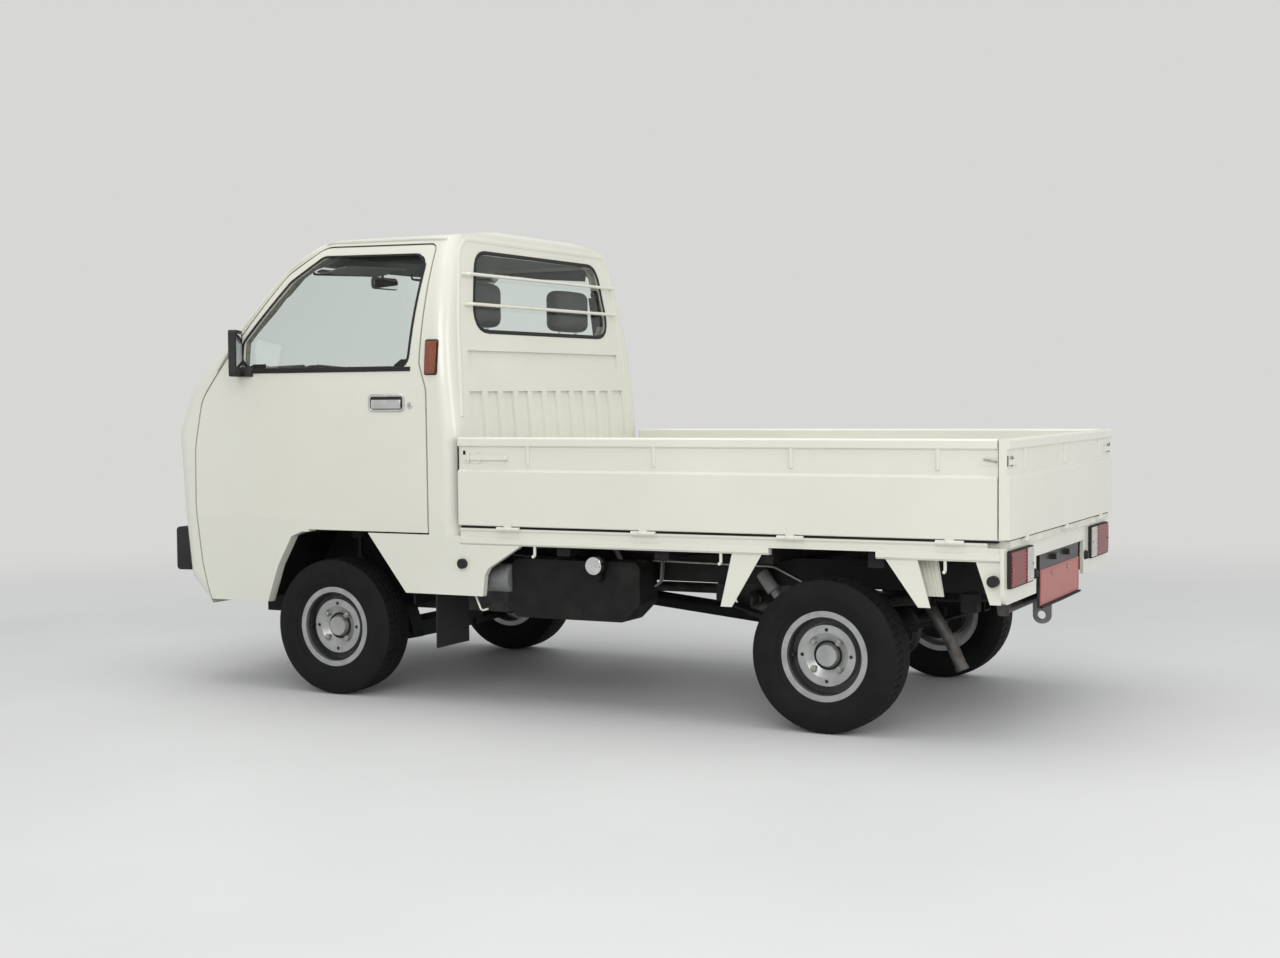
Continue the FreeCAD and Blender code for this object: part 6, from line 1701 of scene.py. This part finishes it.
def left_braces():
    """Canister, hook wire, gusset and clamps between the cab and the rear wheel."""
    canister = lathed([(-0.055, 0.0), (-0.055, 0.040), (-0.048, 0.048), (0.040, 0.048), (0.047, 0.044), (0.050, 0.046),
                       (0.053, 0.040), (0.053, 0.0)], ahead(-0.640, 0.585, 0.432), "X", count=36)
    add("canister", canister, damper_grey, "truck")
    strap = bar([ahead(-0.640, 0.585, 0.484), ahead(-0.640, 0.585, 0.560)], 0.006)
    add("canister_bracket", strap, chassis_black, "truck")
    wire = bar([ahead(-0.575, 0.640, 0.446), ahead(-0.575, 0.640, 0.378), ahead(-0.600, 0.640, 0.322),
                ahead(-0.626, 0.640, 0.330)], 0.0035, bend=0.012)
    add("hook_wire", wire, paint, "truck")
    gusset = [(across(-1.020), 0.552), (across(-1.040), 0.552), (across(-1.118), 0.420), (across(-1.098), 0.414)]
    brace = slab(gusset, 0.500, 0.504, "xz")
    lip = slab([(across(-1.020), 0.552), (across(-1.024), 0.552), (across(-1.102), 0.414), (across(-1.098), 0.414)],
               0.480, 0.504, "xz")
    add("tank_brace", gathered([brace, lip]), damper_grey, "truck")
    clamp_path = [ahead(-1.206, 0.480, 0.500), ahead(-1.200, 0.480, 0.430), ahead(-1.165, 0.480, 0.405),
                  ahead(-1.125, 0.480, 0.420), ahead(-1.112, 0.480, 0.480)]
    clamp = swept(rounded(clamp_path, 0.03, closed=False), flat_section(0.022, 0.004, 0.001),
                  [Vector((0, 0, -1.0))] * len(rounded(clamp_path, 0.03, closed=False)))
    add("pipe_clamp", clamp, damper_grey, "truck")
    strut = lathed([(-0.085, 0.0), (-0.085, 0.014), (0.010, 0.014), (0.012, 0.022), (0.078, 0.022), (0.084, 0.016),
                    (0.084, 0.0)], Vector((0, 0, 0)), "Z", count=24)
    lean = Matrix.Rotation(math.radians(36), 3, "Y")
    form = ([lean @ vertex + ahead(-1.605, 0.470, 0.405) for vertex in strut[0]], strut[1])
    for name, sign in sides:
        add("bump_strut_" + name, on_side(form, sign), damper_grey, "truck")


def valance_bracket():
    """Black bracket at the lower front edge of the wheel opening."""
    leg = bar([ahead(0.300, 0.630, 0.392), ahead(0.330, 0.648, 0.352), ahead(0.420, 0.650, 0.338)], 0.008, bend=0.02)
    for name, sign in sides:
        add("valance_bracket_" + name, on_side(leg, sign), trim_black, "truck")


def leaf_clips():
    """Clips round the leaf springs."""
    forms = []
    for x in (-1.640, -2.040):
        forms.append(bar([ahead(x, 0.414, 0.312), ahead(x, 0.414, 0.270), ahead(x, 0.476, 0.270), ahead(x, 0.476, 0.312)],
                         0.004, bend=0.004))
    for name, sign in sides:
        add("spring_clips_" + name, on_side(gathered(forms), sign), chassis_black, "truck")


def brake_lines():
    """Brake pipe along the left rail."""
    points = [ahead(0.10, 0.372, 0.500), ahead(-0.45, 0.372, 0.500), ahead(-0.68, 0.474, 0.496),
              ahead(-1.25, 0.474, 0.496), ahead(-1.60, 0.474, 0.492), ahead(-1.72, 0.440, 0.425)]
    add("brake_pipe", bar(points, 0.0032, bend=0.05), bolt_zinc, "truck")


tailpipe()
splash_panel()
sill_ends()
left_braces()
valance_bracket()
leaf_clips()
brake_lines()


# Floor, light and camera

floor_reach = 60.0
fade_from = 2.6
fade_to = 7.0
floor_grey_low = (0.62, 0.62, 0.61)
floor_grey_high = (0.66, 0.66, 0.65)
sky_grey = (0.68, 0.68, 0.67)
image_width = 1280
focal_pixels = 1783.8
sensor_width = 36.0
camera_place = (-3.7842, 5.7699, 1.0486)
camera_yaw = -1.10492
camera_pitch = -0.04734
camera_roll = -0.00893


def fade_far_off(material):
    """Turns the floor into the backdrop's plain grey far from the truck."""
    tree = material.node_tree
    place = add_node(material, "ShaderNodeTexCoord")
    distance = add_node(material, "ShaderNodeVectorMath")
    distance.operation = "LENGTH"
    join(material, place, "Object", distance, 0)
    share = add_node(material, "ShaderNodeMapRange")
    share.interpolation_type = "SMOOTHSTEP"
    share.inputs["From Min"].default_value = fade_from
    share.inputs["From Max"].default_value = fade_to
    tree.links.new(distance.outputs["Value"], share.inputs["Value"])
    glow = add_node(material, "ShaderNodeEmission", Color=(*sky_grey, 1), Strength=1.0)
    mix = add_node(material, "ShaderNodeMixShader")
    tree.links.new(share.outputs["Result"], mix.inputs[0])
    tree.links.new(tree.nodes["Principled BSDF"].outputs["BSDF"], mix.inputs[1])
    tree.links.new(glow.outputs["Emission"], mix.inputs[2])
    tree.links.new(mix.outputs[0], tree.nodes["Material Output"].inputs["Surface"])


def lay_floor():
    """Pale floor that runs on far behind the truck."""
    reach = floor_reach
    corners = [(-reach, -reach, 0), (reach, -reach, 0), (reach, reach, 0), (-reach, reach, 0)]
    material = finish("studio_floor", floor_grey_low, floor_grey_high, (0.55, 0.70), blotch=0.7,
                      relief_scale=60.0, relief_depth=0.0002)
    fade_far_off(material)
    floor = mesh_object("studio_floor", corners, [(0, 1, 2, 3)], material, smooth=False)


def set_world():
    """Even sky light; the camera and reflections see the plain backdrop colour."""
    world = bpy.data.worlds.new("studio")
    bpy.context.scene.world = world
    world.use_nodes = True
    tree = world.node_tree
    tree.nodes.clear()
    light = tree.nodes.new("ShaderNodeBackground")
    light.inputs["Color"].default_value = (0.95, 0.98, 1.0, 1)
    light.inputs["Strength"].default_value = world_strength
    backdrop = tree.nodes.new("ShaderNodeBackground")
    backdrop.inputs["Color"].default_value = (*sky_grey, 1)
    backdrop.inputs["Strength"].default_value = 1.0
    rays = tree.nodes.new("ShaderNodeLightPath")
    either = tree.nodes.new("ShaderNodeMath")
    either.operation = "MAXIMUM"
    both = tree.nodes.new("ShaderNodeMath")
    both.operation = "MAXIMUM"
    mix = tree.nodes.new("ShaderNodeMixShader")
    output = tree.nodes.new("ShaderNodeOutputWorld")
    tree.links.new(rays.outputs["Is Camera Ray"], either.inputs[0])
    tree.links.new(rays.outputs["Is Glossy Ray"], either.inputs[1])
    tree.links.new(either.outputs[0], both.inputs[0])
    tree.links.new(rays.outputs["Is Transmission Ray"], both.inputs[1])
    tree.links.new(both.outputs[0], mix.inputs["Fac"])
    tree.links.new(light.outputs[0], mix.inputs[1])
    tree.links.new(backdrop.outputs[0], mix.inputs[2])
    tree.links.new(mix.outputs[0], output.inputs["Surface"])


def hang_lamp(name, place, aim, width, height, power):
    """Soft box that points at a spot."""
    data = bpy.data.lights.new(name, "AREA")
    data.shape = "RECTANGLE"
    data.size = width
    data.size_y = height
    data.energy = power
    lamp = bpy.data.objects.new(name, data)
    lamp.location = place
    lamp.rotation_euler = (Vector(aim) - Vector(place)).to_track_quat("-Z", "Y").to_euler()
    lamp.visible_camera = False
    lamp.visible_transmission = False
    bpy.context.scene.collection.objects.link(lamp)


def aim_camera():
    """Camera at the photograph's place, turned by its yaw, pitch and roll."""
    ahead_of = Vector((math.cos(camera_yaw) * math.cos(camera_pitch),
                       math.sin(camera_yaw) * math.cos(camera_pitch), math.sin(camera_pitch)))
    level = Vector((math.sin(camera_yaw), -math.cos(camera_yaw), 0))
    upright = level.cross(ahead_of)
    right = level * math.cos(camera_roll) + upright * math.sin(camera_roll)
    up = upright * math.cos(camera_roll) - level * math.sin(camera_roll)
    turn = Matrix((right, up, -ahead_of)).transposed().to_4x4()
    data = bpy.data.cameras.new("camera")
    data.sensor_width = sensor_width
    data.lens = focal_pixels * sensor_width / image_width
    camera = bpy.data.objects.new("camera", data)
    camera.matrix_world = Matrix.Translation(ahead(*camera_place)) @ turn
    bpy.context.scene.collection.objects.link(camera)
    bpy.context.scene.camera = camera


world_strength = 0.71
lay_floor()
set_world()
hang_lamp("overhead", (0.3, 0.4, 5.5), (0, 0, 0.6), 7.0, 5.0, 120.0)
hang_lamp("side_key", (-2.5, 6.5, 3.6), (-0.2, 0, 0.8), 4.0, 3.0, 150.0)
hang_lamp("rear_fill", (-6.5, 1.5, 2.6), (-1.0, 0, 0.8), 3.0, 3.0, 80.0)
aim_camera()

bpy.context.scene.view_settings.view_transform = "Standard"


# Box corners as plain lists

def corners(box):
    return [list(box[0]), list(box[1])]
